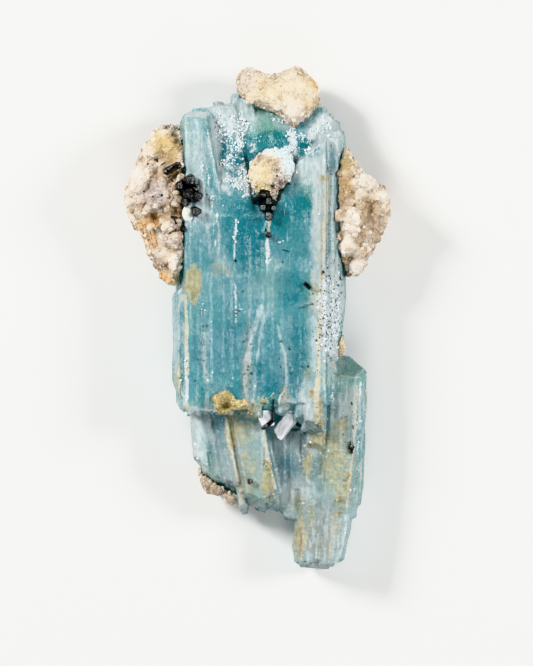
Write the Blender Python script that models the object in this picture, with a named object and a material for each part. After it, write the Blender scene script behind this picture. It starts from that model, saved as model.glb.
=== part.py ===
"""Aquamarine crystal specimen, lying on the flat back face of its main crystal.

Three blue beryl crystals grown side by side carry masses of white feldspar,
black schorl (tourmaline) prisms and two white blades.

Row frame: X runs across the specimen, +Y towards the crystals' finished ends and
+Z up, out of the front face. The origin is on the ground, under the middle of the
specimen. Sizes in the tables are millimetres; MM turns them into metres.
"""

import math
import random

import bmesh
import bpy
from mathutils import Matrix, Vector, noise

MM = 0.001

# Driving dimensions, in millimetres.
FRONT_Z = 19.0  # front face of the main crystal, which rests on its back face at 0
GROWTH_BASE_Y = -18.5  # where the main crystal ends and the lower crystals start
TIP_Y = 22.3  # lowest point of the notch in the main crystal's upper end
WALL_BEND = (8.8, 34.2)  # where the notch's right wall turns less steep
CONTACT_GAP = 0.3  # clearance between pieces that touch
FLAT_SHARE = 0.62  # share of a column's width that its front face takes

# Slope of the recessed upper end: it falls back from the front face to this height.
SLOPE_END_Y = 47.0
SLOPE_END_Z = 11.0

COLOURS = {
    "aquamarine": ((0.22, 0.52, 0.58), 0.2),
    "feldspar": ((0.80, 0.73, 0.63), 0.75),
    "schorl": ((0.015, 0.015, 0.018), 0.2),
    "cleavelandite": ((0.82, 0.84, 0.86), 0.35),
    "iron_crust": ((0.55, 0.42, 0.18), 0.8),
}


# ---------------------------------------------------------------- helpers


def clear_scene():
    for obj in list(bpy.data.objects):
        bpy.data.objects.remove(obj)


def collection(name):
    made = bpy.data.collections.new(name)
    bpy.context.scene.collection.children.link(made)
    return made


def material(name):
    """A plain Principled finish for one mineral."""
    found = bpy.data.materials.get(name)
    if found:
        return found
    colour, roughness = COLOURS[name]
    made = bpy.data.materials.new(name)
    made.use_nodes = True
    shader = made.node_tree.nodes["Principled BSDF"]
    shader.inputs["Base Color"].default_value = (*colour, 1.0)
    shader.inputs["Roughness"].default_value = roughness
    shader.inputs["Metallic"].default_value = 0.0
    return made


def new_object(name, bm, where):
    """Turns a bmesh in millimetres into an object in metres."""
    bmesh.ops.scale(bm, vec=(MM, MM, MM), verts=bm.verts)
    bmesh.ops.recalc_face_normals(bm, faces=bm.faces)
    mesh = bpy.data.meshes.new(name)
    bm.to_mesh(mesh)
    bm.free()
    obj = bpy.data.objects.new(name, mesh)
    where.objects.link(obj)
    return obj


def slice_off(bm, point, normal):
    """Cuts away what lies beyond a plane and closes the cut."""
    cut = bmesh.ops.bisect_plane(
        bm,
        geom=bm.verts[:] + bm.edges[:] + bm.faces[:],
        dist=1e-5,
        plane_co=Vector(point),
        plane_no=Vector(normal).normalized(),
        clear_outer=True,
    )
    rim = [item for item in cut["geom_cut"] if isinstance(item, bmesh.types.BMEdge)]
    if rim:
        bmesh.ops.edgeloop_fill(bm, edges=rim)


def combine(target, tools, operation):
    """Joins or cuts an object with others, keeps the result and drops the tools."""
    helpers = bpy.data.collections.new("tools")
    for tool in tools:
        for owner in tool.users_collection:
            owner.objects.unlink(tool)
        helpers.objects.link(tool)
    modifier = target.modifiers.new(operation, "BOOLEAN")
    modifier.operation = operation
    modifier.solver = "EXACT"
    modifier.use_self = True
    modifier.operand_type = "COLLECTION"
    modifier.collection = helpers
    graph = bpy.context.evaluated_depsgraph_get()
    graph.update()
    result = bpy.data.meshes.new_from_object(target.evaluated_get(graph))
    target.modifiers.clear()
    target.data = result
    for tool in tools:
        bpy.data.objects.remove(tool)
    bpy.data.collections.remove(helpers)
    return target


def keep_largest(obj):
    """Drops loose crumbs that a cut leaves beside the main body."""
    bm = bmesh.new()
    bm.from_mesh(obj.data)
    left = set(bm.verts)
    groups = []
    while left:
        group = set()
        front = [left.pop()]
        while front:
            vert = front.pop()
            group.add(vert)
            for edge in vert.link_edges:
                other = edge.other_vert(vert)
                if other in left:
                    left.remove(other)
                    front.append(other)
        groups.append(group)
    groups.sort(key=len, reverse=True)
    crumbs = [vert for group in groups[1:] for vert in group]
    bmesh.ops.delete(bm, geom=crumbs, context="VERTS")
    bm.to_mesh(obj.data)
    bm.free()


def finish(obj, finish_name, where):
    """Names the mineral, sets flat facets and files the object with the specimen."""
    for owner in list(obj.users_collection):
        owner.objects.unlink(obj)
    where.objects.link(obj)
    obj.data.materials.clear()
    obj.data.materials.append(material(finish_name))
    obj.data.shade_flat()
    return obj


# ---------------------------------------------------------------- beryl columns


def column(spec, grow, where):
    """One six-sided growth column along Y.

    spec: the box x0, x1, back, front, bottom, top, then optional lean in degrees about
    Z (at height pivot), the share of width that is flat, and cuts (point, normal).
    grow moves every face outwards, which makes the clearance shape of a neighbour.
    """
    x0, x1, back, front, bottom, top = spec["box"]
    lean = math.radians(spec.get("lean", 0.0))
    flat = spec.get("flat", FLAT_SHARE)
    bm = bmesh.new()
    bmesh.ops.create_cone(
        bm, cap_ends=True, cap_tris=False, segments=6, radius1=1, radius2=1, depth=2
    )
    middle = Vector(((x0 + x1) / 2, (bottom + top) / 2, (front + back) / 2))
    half = Vector(((x1 - x0) / 2 + grow, (top - bottom) / 2 + grow, (front - back) / 2 + grow))
    bmesh.ops.rotate(bm, matrix=Matrix.Rotation(math.radians(30), 3, "Z"), verts=bm.verts)
    for vert in bm.verts:
        at_side = abs(vert.co.y) < 0.1
        across = math.copysign(1.0 if at_side else flat, vert.co.x)
        depth = 0.0 if at_side else math.copysign(1.0, vert.co.y)
        along = math.copysign(1.0, vert.co.z)
        vert.co = Vector((across * half.x, along * half.y, depth * half.z))
        vert.co += middle
    if lean:
        pivot = Vector((middle.x, spec.get("pivot", top), middle.z))
        bmesh.ops.rotate(
            bm, cent=pivot, matrix=Matrix.Rotation(lean, 3, "Z"), verts=bm.verts
        )
    for point, normal in spec.get("cuts", ()):
        away = Vector(normal).normalized()
        slice_off(bm, Vector(point) + away * grow, away)
    return new_object("column", bm, where)


def crystal(name, specs, grow, where):
    """Columns grown into one solid."""
    columns = [column(spec, grow, where) for spec in specs]
    body = combine(columns[0], columns[1:], "UNION")
    keep_largest(body)
    body.name = name
    return body


def ribs(rng, x0, x1, bottom, top, front, count, height, inset=3.0):
    """Growth ridges along a front face: slim low columns of uneven width and length."""
    made = []
    pitch = (x1 - x0) / count
    for i in range(count):
        middle = x0 + pitch * (i + 0.5 + rng.uniform(-0.22, 0.22))
        half = pitch * rng.uniform(0.24, 0.44)
        low = bottom + rng.uniform(0.0, 0.25) * (top - bottom)
        high = top - rng.uniform(0.0, 0.30) * (top - bottom)
        proud = height * rng.uniform(0.35, 1.0)
        made.append(
            {
                "box": (middle - half, middle + half, front - inset, front + proud, low, high),
                "flat": 0.7,
                "cuts": [
                    ((middle, high, front), (rng.uniform(-0.4, 0.4), 1.0, rng.uniform(0.3, 0.9))),
                    ((middle, low, front), (rng.uniform(-0.4, 0.4), -1.0, rng.uniform(0.2, 0.8))),
                ],
            }
        )
    return made


def main_crystal_columns():
    """The broad front crystal with the notched upper end."""
    rng = random.Random(11)
    fall = FRONT_Z - SLOPE_END_Z
    notch_floor = ((0.0, TIP_Y, FRONT_Z), (0.0, fall, SLOPE_END_Y - TIP_Y))
    columns = [
        # Core, cut by the floor of the notch.
        {
            "box": (-14.6, 17.6, 0.0, FRONT_Z, GROWTH_BASE_Y, 46.5),
            "flat": 0.80,
            "cuts": [notch_floor, ((16.4, 44.3, 10.0), (0.75, 0.66, 0.0))],
        },
        # Tall column on the left with a worn, nearly flat end.
        {
            "box": (-17.1, -6.4, 3.2, 18.7, -20.2, 45.4),
            "flat": 0.74,
            "cuts": [
                ((-16.7, 43.8, 12.0), (-1.0, 0.75, 0.1)),
                ((-14.0, 45.4, 14.0), (0.05, 1.0, 0.35)),
                ((-14.0, 40.5, 18.7), (0.0, 0.35, 1.0)),
                ((-9.7, 35.4, 18.7), (0.98, 0.197, 0.25)),
                ((-14.0, -20.2, 18.0), (-0.5, -1.0, 0.4)),
            ],
        },
        # Frosted shoulder between the tall column and the notch.
        {
            "box": (-10.8, 0.8, 4.0, 18.9, -18.9, 46.8),
            "flat": 0.9,
            "cuts": [
                ((-5.0, 26.1, 18.9), (0.0, 0.31, 0.95)),
                ((-1.5, 27.5, 18.0), (0.965, 0.263, 0.30)),
                ((-8.0, 46.9, 12.0), (-0.3, 1.0, 0.2)),
            ],
        },
        # Right wall of the notch, an oblique edge in two slopes.
        {
            "box": (0.2, 15.8, 4.0, FRONT_Z + 0.2, -18.6, 40.0),
            "flat": 0.88,
            "cuts": [
                ((*WALL_BEND, FRONT_Z), (-0.89, 0.45, 0.20)),
                ((*WALL_BEND, FRONT_Z), (-0.61, 0.79, 0.20)),
                ((14.0, 38.6, FRONT_Z), (0.10, 1.0, 0.55)),
            ],
        },
        # Ridge down the right edge of the front, which overhangs the lower crystals.
        {
            "box": (9.4, 15.2, 10.4, FRONT_Z + 0.6, -24.6, 37.2),
            "flat": 0.55,
            "cuts": [
                ((12.0, 36.7, FRONT_Z), (-0.5, 1.0, 0.9)),
                ((12.4, -24.0, 17.0), (-0.2, -1.0, 0.45)),
            ],
        },
        {
            "box": (7.6, 11.6, 13.4, FRONT_Z - 0.5, -22.8, 8.0),
            "flat": 0.6,
            "cuts": [((9.4, -22.2, 17.0), (0.5, -1.0, 0.6))],
        },
        # Side columns on the right, worn away below.
        {
            "box": (12.6, 19.6, 2.6, 15.6, -4.6, 41.8),
            "flat": 0.45,
            "cuts": [
                ((18.6, 41.2, 9.0), (1.0, 0.9, 0.1)),
                ((16.0, 43.0, 9.0), (0.2, 1.0, 0.5)),
                ((18.5, -2.0, 9.0), (0.97, -0.14, 0.1)),
            ],
        },
        {
            "box": (11.8, 18.4, 1.4, 12.4, -11.5, 43.4),
            "flat": 0.5,
            "cuts": [
                ((17.8, 42.8, 8.0), (0.75, 1.0, 0.3)),
                ((17.3, -6.0, 8.0), (0.93, -0.36, 0.0)),
            ],
        },
        {
            "box": (12.9, 17.8, 9.8, 17.6, -9.0, 33.0),
            "flat": 0.5,
            "cuts": [
                ((15.4, 33.0, 16.0), (0.3, 1.0, 0.9)),
                ((15.4, -8.2, 16.0), (0.6, -1.0, 0.8)),
            ],
        },
        # Side columns on the left, which start below the feldspar.
        {
            "box": (-18.9, -12.6, 4.0, 14.6, -19.2, 6.6),
            "flat": 0.5,
            "cuts": [
                ((-17.6, 6.2, 9.0), (-0.9, 1.0, 0.0)),
                ((-18.3, -15.0, 9.0), (-1.0, -0.42, 0.1)),
            ],
        },
        {
            "box": (-18.2, -11.6, 1.6, 11.6, -20.2, 30.0),
            "flat": 0.5,
            "cuts": [((-17.4, -19.4, 7.0), (-0.7, -0.9, 0.1))],
        },
    ]
    # Teeth along the upper end, behind the notch: x edges, height of the end, front, and
    # the tilt of the end, where it isn't left to chance.
    teeth = [
        (-10.5, -8.7, 46.4, 11.2),
        (-9.6, -7.6, 47.5, 10.2),
        (-8.1, -5.7, 46.9, 11.6),
        (-6.1, -3.4, 49.4, 11.0, -1.1),
        (-4.2, 0.4, 48.9, 12.0),
        (-0.4, 4.2, 48.6, 11.2),
        (3.4, 8.2, 47.8, 10.6),
        (7.2, 11.6, 47.5, 11.4),
        (10.8, 14.2, 47.1, 10.2),
        (13.2, 15.5, 46.2, 11.0),
        (14.8, 16.9, 44.9, 9.4),
        (16.2, 18.2, 43.3, 10.4),
        (17.3, 19.1, 41.4, 8.8),
    ]
    for x0, x1, top, front, *given in teeth:
        tilt = rng.uniform(-0.5, 0.2) if x0 < 0 else rng.uniform(0.1, 0.6)
        tilt = given[0] if given else tilt
        middle = (x0 + x1) / 2
        columns.append(
            {
                "box": (x0, x1, 0.9 + rng.uniform(0.0, 0.8), front, 20.0, top + 0.6),
                "flat": 0.6,
                "cuts": [((middle, top, front - 2.0), (tilt, 1.0, 0.35))],
            }
        )
    # Ragged lower end of the front skin.
    skin_bottoms = (-20.9, -19.4, -20.6, -19.2, -21.8, -19.8, -20.6, -19.0)
    x = -15.4
    for bottom in skin_bottoms:
        width = rng.uniform(2.6, 3.9)
        middle = x + width / 2
        columns.append(
            {
                "box": (x, x + width + 0.5, 14.6, FRONT_Z - rng.uniform(0.1, 0.6), bottom, 0.0),
                "flat": 0.7,
                "cuts": [((middle, bottom + 0.4, 17.5), (rng.uniform(-0.6, 0.6), -1.0, 0.5))],
            }
        )
        x += width
    columns += ribs(rng, -13.6, 12.4, -17.6, 21.0, FRONT_Z, 12, 0.45)
    columns += ribs(rng, -15.6, -11.4, -8.0, 39.0, 18.7, 3, 0.4)
    return columns


def side_crystal_columns():
    """The lower right crystal: a six-sided prism with a flat end, and its broken foot."""
    lean = -4.0
    end = ((19.4, -12.9, 12.8), (-0.04, 0.90, 0.43))
    end_corner = ((20.5, -8.4, 2.4), (0.66, 0.75, 0.0))
    worn_foot = ((18.5, -39.5, 12.8), (0.15, -0.4, 1.0))
    columns = [
        {
            "box": (14.4, 24.7, 2.4, 12.8, -44.0, -6.0),
            "lean": lean,
            "flat": 0.52,
            "cuts": [end, end_corner, worn_foot],
        },
        # Splinter along the right edge that ends in a broken step.
        {
            "box": (19.4, 24.3, 3.6, 10.6, -42.6, -14.6),
            "lean": -2.6,
            "flat": 0.5,
            "cuts": [((22.0, -42.0, 5.0), (0.8, -1.0, 0.2)), ((22.0, -15.5, 9.0), (0.5, 1.0, 0.2))],
        },
        # Foot columns.
        {
            "box": (9.9, 18.0, 2.0, 11.6, -55.4, -20.6),
            "lean": -3.5,
            "flat": 0.6,
            "cuts": [((10.4, -55.3, 4.0), (-0.45, -1.0, 0.12)), ((12.4, -55.3, 4.0), (0.15, -1.0, 0.25))],
        },
        {
            "box": (15.6, 23.8, 2.2, 12.2, -54.8, -22.0),
            "lean": -5.6,
            "flat": 0.6,
            "cuts": [((17.0, -54.5, 5.0), (0.55, -1.0, 0.1)), ((20.3, -47.0, 6.0), (1.0, -0.22, 0.1))],
        },
        {
            "box": (13.0, 18.4, 3.0, 11.0, -55.6, -30.0),
            "lean": -4.0,
            "flat": 0.6,
            "cuts": [((13.6, -55.3, 5.0), (0.1, -1.0, 0.3))],
        },
        {
            "box": (9.5, 13.4, 3.4, 10.8, -52.9, -24.0),
            "lean": -3.6,
            "flat": 0.5,
            "cuts": [((8.6, -52.4, 5.0), (-0.8, -1.0, 0.2))],
        },
        # Striated middle, set back from the lower left crystals and running up behind the front.
        {
            "box": (0.2, 8.0, 1.8, 10.4, -43.0, -12.0),
            "lean": 2.0,
            "flat": 0.7,
            "cuts": [((3.2, -42.2, 4.0), (-0.35, -1.0, 0.2))],
        },
        {
            "box": (5.2, 12.6, 1.5, 10.0, -44.8, -12.0),
            "flat": 0.75,
            "cuts": [((6.6, -44.6, 4.0), (-0.35, -1.0, 0.15))],
        },
        {"box": (9.8, 16.6, 1.7, 10.7, -46.0, -12.0), "lean": -2.0, "flat": 0.7},
        {
            "box": (10.2, 15.6, 4.0, 13.4, -31.0, -12.0),
            "lean": -1.0,
            "flat": 0.6,
            "cuts": [((12.8, -29.0, 12.0), (-0.2, -0.8, 0.9))],
        },
    ]
    rng = random.Random(5)
    columns += ribs(rng, 1.4, 9.8, -42.0, -17.0, 10.3, 5, 0.45, 2.0)
    columns += ribs(rng, 15.8, 20.4, -43.0, -17.5, 12.6, 3, 0.4, 2.0)
    columns += ribs(rng, 10.4, 18.6, -52.0, -34.0, 11.6, 4, 0.45, 2.0)
    return columns


def lower_crystal_columns():
    """The pale bundle at the lower left, whose columns lean to the right as they go down."""
    top = GROWTH_BASE_Y
    bundle = [
        # x0, x1 at the top, back, front, end, flat share, lean, tilt of the broken end
        (-14.9, -10.4, 3.2, 12.2, -33.4, 0.5, 2.5, (-0.9, -1.0, 0.2)),
        (-14.7, -10.2, 2.6, 11.6, -36.6, 0.6, 9.0, (-0.6, -1.0, 0.2)),
        (-13.0, -9.4, 2.4, 12.8, -37.8, 0.6, 11.0, (-0.5, -1.0, 0.25)),
        (-11.4, -6.6, 1.8, 13.6, -39.6, 0.6, 11.0, (-0.4, -1.0, 0.3)),
        (-8.2, -4.4, 2.2, 12.9, -41.2, 0.6, 11.0, (-0.3, -1.0, 0.25)),
        (-8.7, -6.4, 2.6, 11.4, -43.3, 0.55, 11.0, (0.2, -1.0, 0.3)),
        (-7.0, -2.6, 1.6, 14.2, -42.4, 0.62, 11.0, (-0.5, -1.0, 0.25)),
        (-4.6, 0.2, 1.9, 14.4, -42.2, 0.6, 11.5, (0.5, -1.0, 0.3)),
        (-1.6, 0.9, 4.0, 14.7, -40.6, 0.4, 12.0, (0.4, -1.0, 0.3)),
    ]
    columns = []
    for x0, x1, rear, front, bottom, flat, lean, tilt in bundle:
        drift = math.tan(math.radians(lean)) * (top - bottom)
        end = ((x0 + x1) / 2 + drift, bottom, rear + 1.0)
        columns.append(
            {
                "box": (x0, x1, rear, front, bottom - 3.0, top + 5.0),
                "lean": lean,
                "pivot": top,
                "flat": flat,
                "cuts": [(end, tilt)],
            }
        )
    return columns


# ---------------------------------------------------------------- feldspar masses


def outline_radius(outline, centre, angle):
    """Distance from the centre to a closed outline in one direction."""
    direction = Vector((math.cos(angle), math.sin(angle)))
    best = 0.0
    for i, start in enumerate(outline):
        a = Vector(start) - centre
        b = Vector(outline[(i + 1) % len(outline)]) - centre
        edge = b - a
        bottom = direction.x * edge.y - direction.y * edge.x
        if abs(bottom) < 1e-9:
            continue
        distance = (a.x * edge.y - a.y * edge.x) / bottom
        share = (a.x * direction.y - a.y * direction.x) / bottom
        if distance > 0 and -1e-6 <= share <= 1 + 1e-6:
            best = max(best, distance)
    return best


def lump(name, spec, where):
    """A knobbly mass with a given outline seen from the front.

    An icosphere is stretched to the outline, flattened between back and front, and
    roughened by noise. Small blocky crystals stand out of it.
    """
    rng = random.Random(spec["seed"])
    centre = Vector(spec["centre"])
    back, front = spec["back"], spec["front"]
    bm = bmesh.new()
    bmesh.ops.create_icosphere(bm, subdivisions=spec.get("subdivisions", 4), radius=1.0)
    for vert in bm.verts:
        way = vert.co.normalized()
        angle = math.atan2(way.y, way.x)
        reach = outline_radius(spec["outline"], centre, angle)
        flat_length = math.sqrt(max(1e-9, way.x**2 + way.y**2))
        spread = flat_length**0.75
        height = math.copysign(abs(way.z) ** 0.8, way.z)
        place = Vector(
            (
                centre.x + math.cos(angle) * reach * spread,
                centre.y + math.sin(angle) * reach * spread,
                (back + front) / 2 + height * (front - back) / 2,
            )
        )
        coarse = noise.fractal(place * 0.16 + Vector((spec["seed"], 0, 0)), 0.8, 2.1, 3)
        knobs = 0.42 - noise.voronoi(place * spec.get("cell", 0.33))[0][0]
        swell = spec.get("rough", 1.0) * (0.8 * coarse + 3.4 * knobs)
        inward = 1.0 - 0.65 * spread
        vert.co = place + Vector((way.x, way.y, way.z)) * swell * max(0.42, inward)
    body = new_object(name, bm, where)
    reduce_to(body, spec["faces"])
    blocks = []
    for _ in range(spec.get("blocks", 0)):
        blocks.append(block_on(body, rng, spec, where))
    if blocks:
        combine(body, blocks, "UNION")
    return body


def reduce_to(obj, faces):
    """Decimates to about this many triangles, which leaves uneven facets."""
    modifier = obj.modifiers.new("reduce", "DECIMATE")
    modifier.ratio = min(1.0, faces / len(obj.data.polygons))
    graph = bpy.context.evaluated_depsgraph_get()
    graph.update()
    obj.data = bpy.data.meshes.new_from_object(obj.evaluated_get(graph))
    obj.modifiers.clear()


def block_on(body, rng, spec, where):
    """A small blocky crystal half sunk in a mass, well inside its outline."""
    low, high = spec["block_size"]
    polygons = body.data.polygons
    while True:
        face = polygons[rng.randrange(len(polygons))]
        inner = (Vector(face.center.xy) / MM - Vector(spec["centre"])).length
        angle = math.atan2(face.center.y / MM - spec["centre"][1], face.center.x / MM - spec["centre"][0])
        reach = outline_radius(spec["outline"], Vector(spec["centre"]), angle)
        if inner < reach * 0.8 and face.normal.z > -0.2:
            break
    bm = bmesh.new()
    bmesh.ops.create_cube(bm, size=1.0)
    size = Vector((rng.uniform(low, high), rng.uniform(low, high), rng.uniform(low, high)))
    bmesh.ops.scale(bm, vec=size, verts=bm.verts)
    for vert in bm.verts:
        vert.co.x += 0.3 * vert.co.z
    turn = Matrix.Rotation(rng.uniform(0, math.tau), 3, Vector((rng.random(), rng.random(), 1.0)))
    bmesh.ops.rotate(bm, matrix=turn, verts=bm.verts)
    place = face.center / MM - face.normal * 0.08 * size.z
    bmesh.ops.translate(bm, vec=place, verts=bm.verts)
    return new_object("block", bm, where)


LUMPS = {
    "feldspar_left": {
        "centre": (-20.0, 26.0),
        "outline": [
            (-14.0, 41.5), (-17.2, 42.0), (-19.3, 43.3), (-21.0, 42.6), (-22.3, 40.6), (-24.1, 38.6),
            (-25.8, 38.0), (-26.7, 34.6), (-28.6, 31.3), (-29.9, 26.4), (-28.4, 21.9), (-25.4, 18.0),
            (-24.5, 14.2), (-23.6, 12.1), (-21.2, 9.8), (-19.6, 7.6), (-18.1, 6.8), (-14.5, 8.0),
            (-12.5, 18.0), (-12.5, 32.0),
        ],
        "back": 0.7, "front": 18.4, "seed": 3, "faces": 1000, "blocks": 24, "block_size": (1.4, 3.0),
        "cell": 0.30,
    },
    "feldspar_right": {
        "centre": (20.5, 24.0),
        "outline": [
            (15.6, 41.0), (18.6, 38.9), (20.3, 37.0), (21.9, 34.4), (24.9, 31.2), (28.6, 28.5),
            (29.7, 26.4), (29.1, 22.6), (28.1, 19.0), (25.5, 15.3), (23.5, 12.9), (23.2, 11.0),
            (21.7, 9.6), (19.3, 8.9), (15.0, 10.0), (13.5, 20.0), (13.5, 34.0),
        ],
        "back": 0.9, "front": 16.6, "seed": 8, "faces": 900, "blocks": 20, "block_size": (1.4, 3.0),
        "cell": 0.26,
    },
    "feldspar_top": {
        "centre": (4.8, 48.0),
        "outline": [
            (-4.4, 49.2), (-4.3, 51.8), (-5.0, 53.2), (-3.4, 55.3), (-1.6, 55.8), (1.2, 54.3),
            (4.4, 53.8), (7.0, 55.4), (8.9, 55.9), (11.3, 53.9), (13.6, 50.9), (13.5, 48.9),
            (13.9, 46.8), (11.8, 43.9), (10.0, 41.6), (8.3, 40.4), (6.2, 42.7), (3.8, 44.9),
            (0.6, 46.2), (-2.4, 47.2),
        ],
        "back": 2.6, "front": 15.6, "seed": 14, "faces": 620, "blocks": 5, "block_size": (1.2, 2.2),
        "cell": 0.22, "rough": 0.6,
    },
    "feldspar_knob": {
        "centre": (2.9, 31.0),
        "outline": [
            (-2.4, 32.0), (-1.4, 34.8), (0.8, 37.0), (3.8, 37.8), (6.8, 36.9), (8.5, 34.6),
            (8.9, 32.4), (7.2, 29.8), (5.6, 27.6), (4.2, 25.4), (2.9, 23.8), (1.0, 25.2), (-0.9, 27.6),
        ],
        "back": 11.5, "front": 22.2, "seed": 21, "faces": 420, "blocks": 6, "block_size": (1.0, 2.0),
        "cell": 0.4, "rough": 0.6, "subdivisions": 3,
    },
    "feldspar_lower": {
        "centre": (-8.6, -35.6),
        "outline": [
            (-13.4, -32.6), (-12.9, -34.6), (-12.5, -37.0), (-11.1, -38.5), (-8.8, -38.6),
            (-7.7, -39.8), (-6.6, -40.9), (-4.8, -41.5), (-3.6, -40.6), (-5.0, -37.0),
            (-8.0, -32.0), (-11.6, -31.0),
        ],
        "back": 0.8, "front": 8.6, "seed": 30, "faces": 420, "blocks": 3, "block_size": (1.2, 2.2),
        "cell": 0.35, "rough": 0.6, "subdivisions": 3,
    },
    "feldspar_flake": {
        "centre": (17.8, -5.0),
        "outline": [
            (16.2, -7.6), (16.3, -4.8), (17.4, -2.4), (18.4, -1.6), (18.9, -3.6), (19.2, -5.6),
            (19.3, -7.6), (18.2, -8.6),
        ],
        "back": 4.2, "front": 9.6, "seed": 41, "faces": 200, "blocks": 0, "rough": 0.3,
        "cell": 0.5, "subdivisions": 3,
    },
}


# ---------------------------------------------------------------- schorl and blades


def prism(spec, grow, where):
    """One schorl prism: a ribbed nine-sided column with a low three-sided end.

    spec: foot and tip as points, radius. The ribs come from nine corners of
    alternating reach, as schorl's rounded triangular section has.
    """
    foot, tip, radius = Vector(spec[0]), Vector(spec[1]), spec[2]
    length = (tip - foot).length
    bm = bmesh.new()
    bmesh.ops.create_cone(
        bm, cap_ends=True, cap_tris=False, segments=9, radius1=radius, radius2=radius,
        depth=length,
    )
    for vert in bm.verts:
        angle = math.atan2(vert.co.y, vert.co.x)
        reach = 1.0 + 0.09 * math.cos(3 * angle)
        vert.co.x *= reach
        vert.co.y *= reach
    for turn in (0.3, 0.3 + math.tau / 3, 0.3 + 2 * math.tau / 3):
        away = Vector((math.cos(turn) * 0.5, math.sin(turn) * 0.5, 1.0)).normalized()
        slice_off(bm, Vector((0, 0, length / 2)) - away * 0.06 * radius, away)
    for vert in bm.verts:
        outward = Vector((vert.co.x, vert.co.y, 0.0)).normalized()
        vert.co += outward * grow + Vector((0.0, 0.0, math.copysign(grow, vert.co.z)))
    axis = (tip - foot).normalized()
    bmesh.ops.rotate(
        bm, matrix=Vector((0, 0, 1)).rotation_difference(axis).to_matrix(), verts=bm.verts
    )
    bmesh.ops.translate(bm, vec=(foot + tip) / 2, verts=bm.verts)
    return new_object("prism", bm, where)


SCHORL = {
    # Each prism: foot point, tip point, radius.
    "schorl_left_group": [
        ((-15.4, 29.4, 16.6), (-14.9, 30.2, 21.6), 1.3),
        ((-16.4, 28.2, 16.0), (-16.8, 28.1, 20.9), 0.95),
        ((-15.2, 27.2, 16.8), (-14.6, 27.4, 22.0), 1.35),
        ((-13.8, 28.6, 17.2), (-12.9, 29.2, 20.9), 0.95),
        ((-13.6, 26.8, 17.2), (-12.9, 26.7, 21.4), 1.1),
        ((-15.6, 25.6, 17.0), (-15.6, 25.6, 20.6), 0.95),
    ],
    "schorl_upper_left": [((-20.2, 32.0, 18.2), (-16.8, 33.7, 19.8), 0.85)],
    "schorl_hexagon": [((-13.4, 23.4, 18.0), (-13.3, 23.3, 21.2), 1.15)],
    "schorl_small_left": [((-15.9, 19.6, 15.2), (-15.8, 19.5, 19.2), 0.75)],
    "schorl_centre_group": [
        ((-0.4, 25.5, 18.8), (2.1, 27.3, 21.2), 1.05),
        ((2.3, 25.3, 17.6), (2.5, 25.5, 22.2), 1.0),
        ((1.3, 24.2, 17.6), (1.2, 24.2, 21.2), 0.85),
        ((3.3, 24.1, 17.6), (3.6, 24.1, 21.6), 0.85),
        ((2.5, 22.6, 17.6), (2.5, 22.3, 21.8), 1.15),
    ],
    "schorl_drop": [((2.4, 18.3, 18.6), (2.4, 18.1, 20.9), 0.7)],
    "schorl_right": [((10.3, 7.7, 20.0), (11.9, 6.3, 20.5), 0.5)],
    "schorl_side": [((20.7, -27.2, 13.2), (20.4, -29.6, 13.5), 0.6)],
    "schorl_lower": [((-1.7, -35.8, 14.4), (-1.6, -35.7, 16.0), 0.7)],
    "schorl_foot": [((9.0, -23.4, 10.0), (9.8, -23.3, 12.2), 0.6)],
    "schorl_hook": [
        ((3.5, -17.4, 19.9), (3.4, -20.4, 19.5), 0.5),
        ((3.4, -20.1, 19.7), (3.5, -22.9, 14.4), 0.5),
        ((4.1, -22.4, 14.0), (1.0, -24.4, 15.4), 0.62),
    ],
}

BLADES = {
    # centre, size (width, length, thickness), turn about Z, tilt about X, in degrees
    "blade_right": ((6.3, -23.0, 12.8), (3.4, 7.8, 1.6), -38.0, 22.0),
    "blade_left": ((1.7, -21.6, 14.0), (3.2, 4.2, 1.1), 14.0, 30.0),
}

BEAD = ((-15.2, 22.9, 18.2), (1.3, 1.9, 1.7))

CRUST = {
    "centre": (-6.6, -18.9),
    "outline": [
        (-9.6, -19.4), (-9.9, -17.2), (-8.7, -16.1), (-7.0, -15.6), (-5.6, -16.2), (-4.6, -17.9),
        (-3.2, -18.4), (-1.9, -17.5), (-1.7, -19.2), (-3.4, -20.2), (-5.2, -19.8), (-6.2, -20.6),
        (-8.2, -21.0),
    ],
    "back": 16.4, "front": 21.0, "seed": 52, "faces": 260, "rough": 0.4, "cell": 0.7, "subdivisions": 3,
}


def schorl_group(name, prisms, grow, where):
    """Prisms that touch, grown into one solid."""
    made = [prism(spec, grow, where) for spec in prisms]
    body = combine(made[0], made[1:], "UNION") if len(made) > 1 else made[0]
    body.name = name
    return body


def blade(name, spec, grow, where):
    """A thin white blade with bevelled long edges."""
    centre, size, turn, tilt = spec
    bm = bmesh.new()
    bmesh.ops.create_cube(bm, size=1.0)
    bmesh.ops.scale(bm, vec=[side + 2 * grow for side in size], verts=bm.verts)
    for vert in bm.verts:
        if vert.co.z > 0:
            vert.co.x *= 0.78
            vert.co.y *= 0.94
    slice_off(bm, (0.0, -size[1] * 0.44 - grow, 0.0), (-0.5, -1.0, 0.0))
    spin = Matrix.Rotation(math.radians(turn), 3, "Z") @ Matrix.Rotation(math.radians(tilt), 3, "X")
    bmesh.ops.rotate(bm, matrix=spin, verts=bm.verts)
    bmesh.ops.translate(bm, vec=centre, verts=bm.verts)
    return new_object(name, bm, where)


def bead(grow, where):
    """The rounded quartz bead beside the left schorl."""
    centre, radii = BEAD
    bm = bmesh.new()
    bmesh.ops.create_icosphere(bm, subdivisions=2, radius=1.0)
    bmesh.ops.scale(bm, vec=[radius + grow for radius in radii], verts=bm.verts)
    bmesh.ops.translate(bm, vec=centre, verts=bm.verts)
    return new_object("quartz_bead", bm, where)


# ---------------------------------------------------------------- assembly


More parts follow.
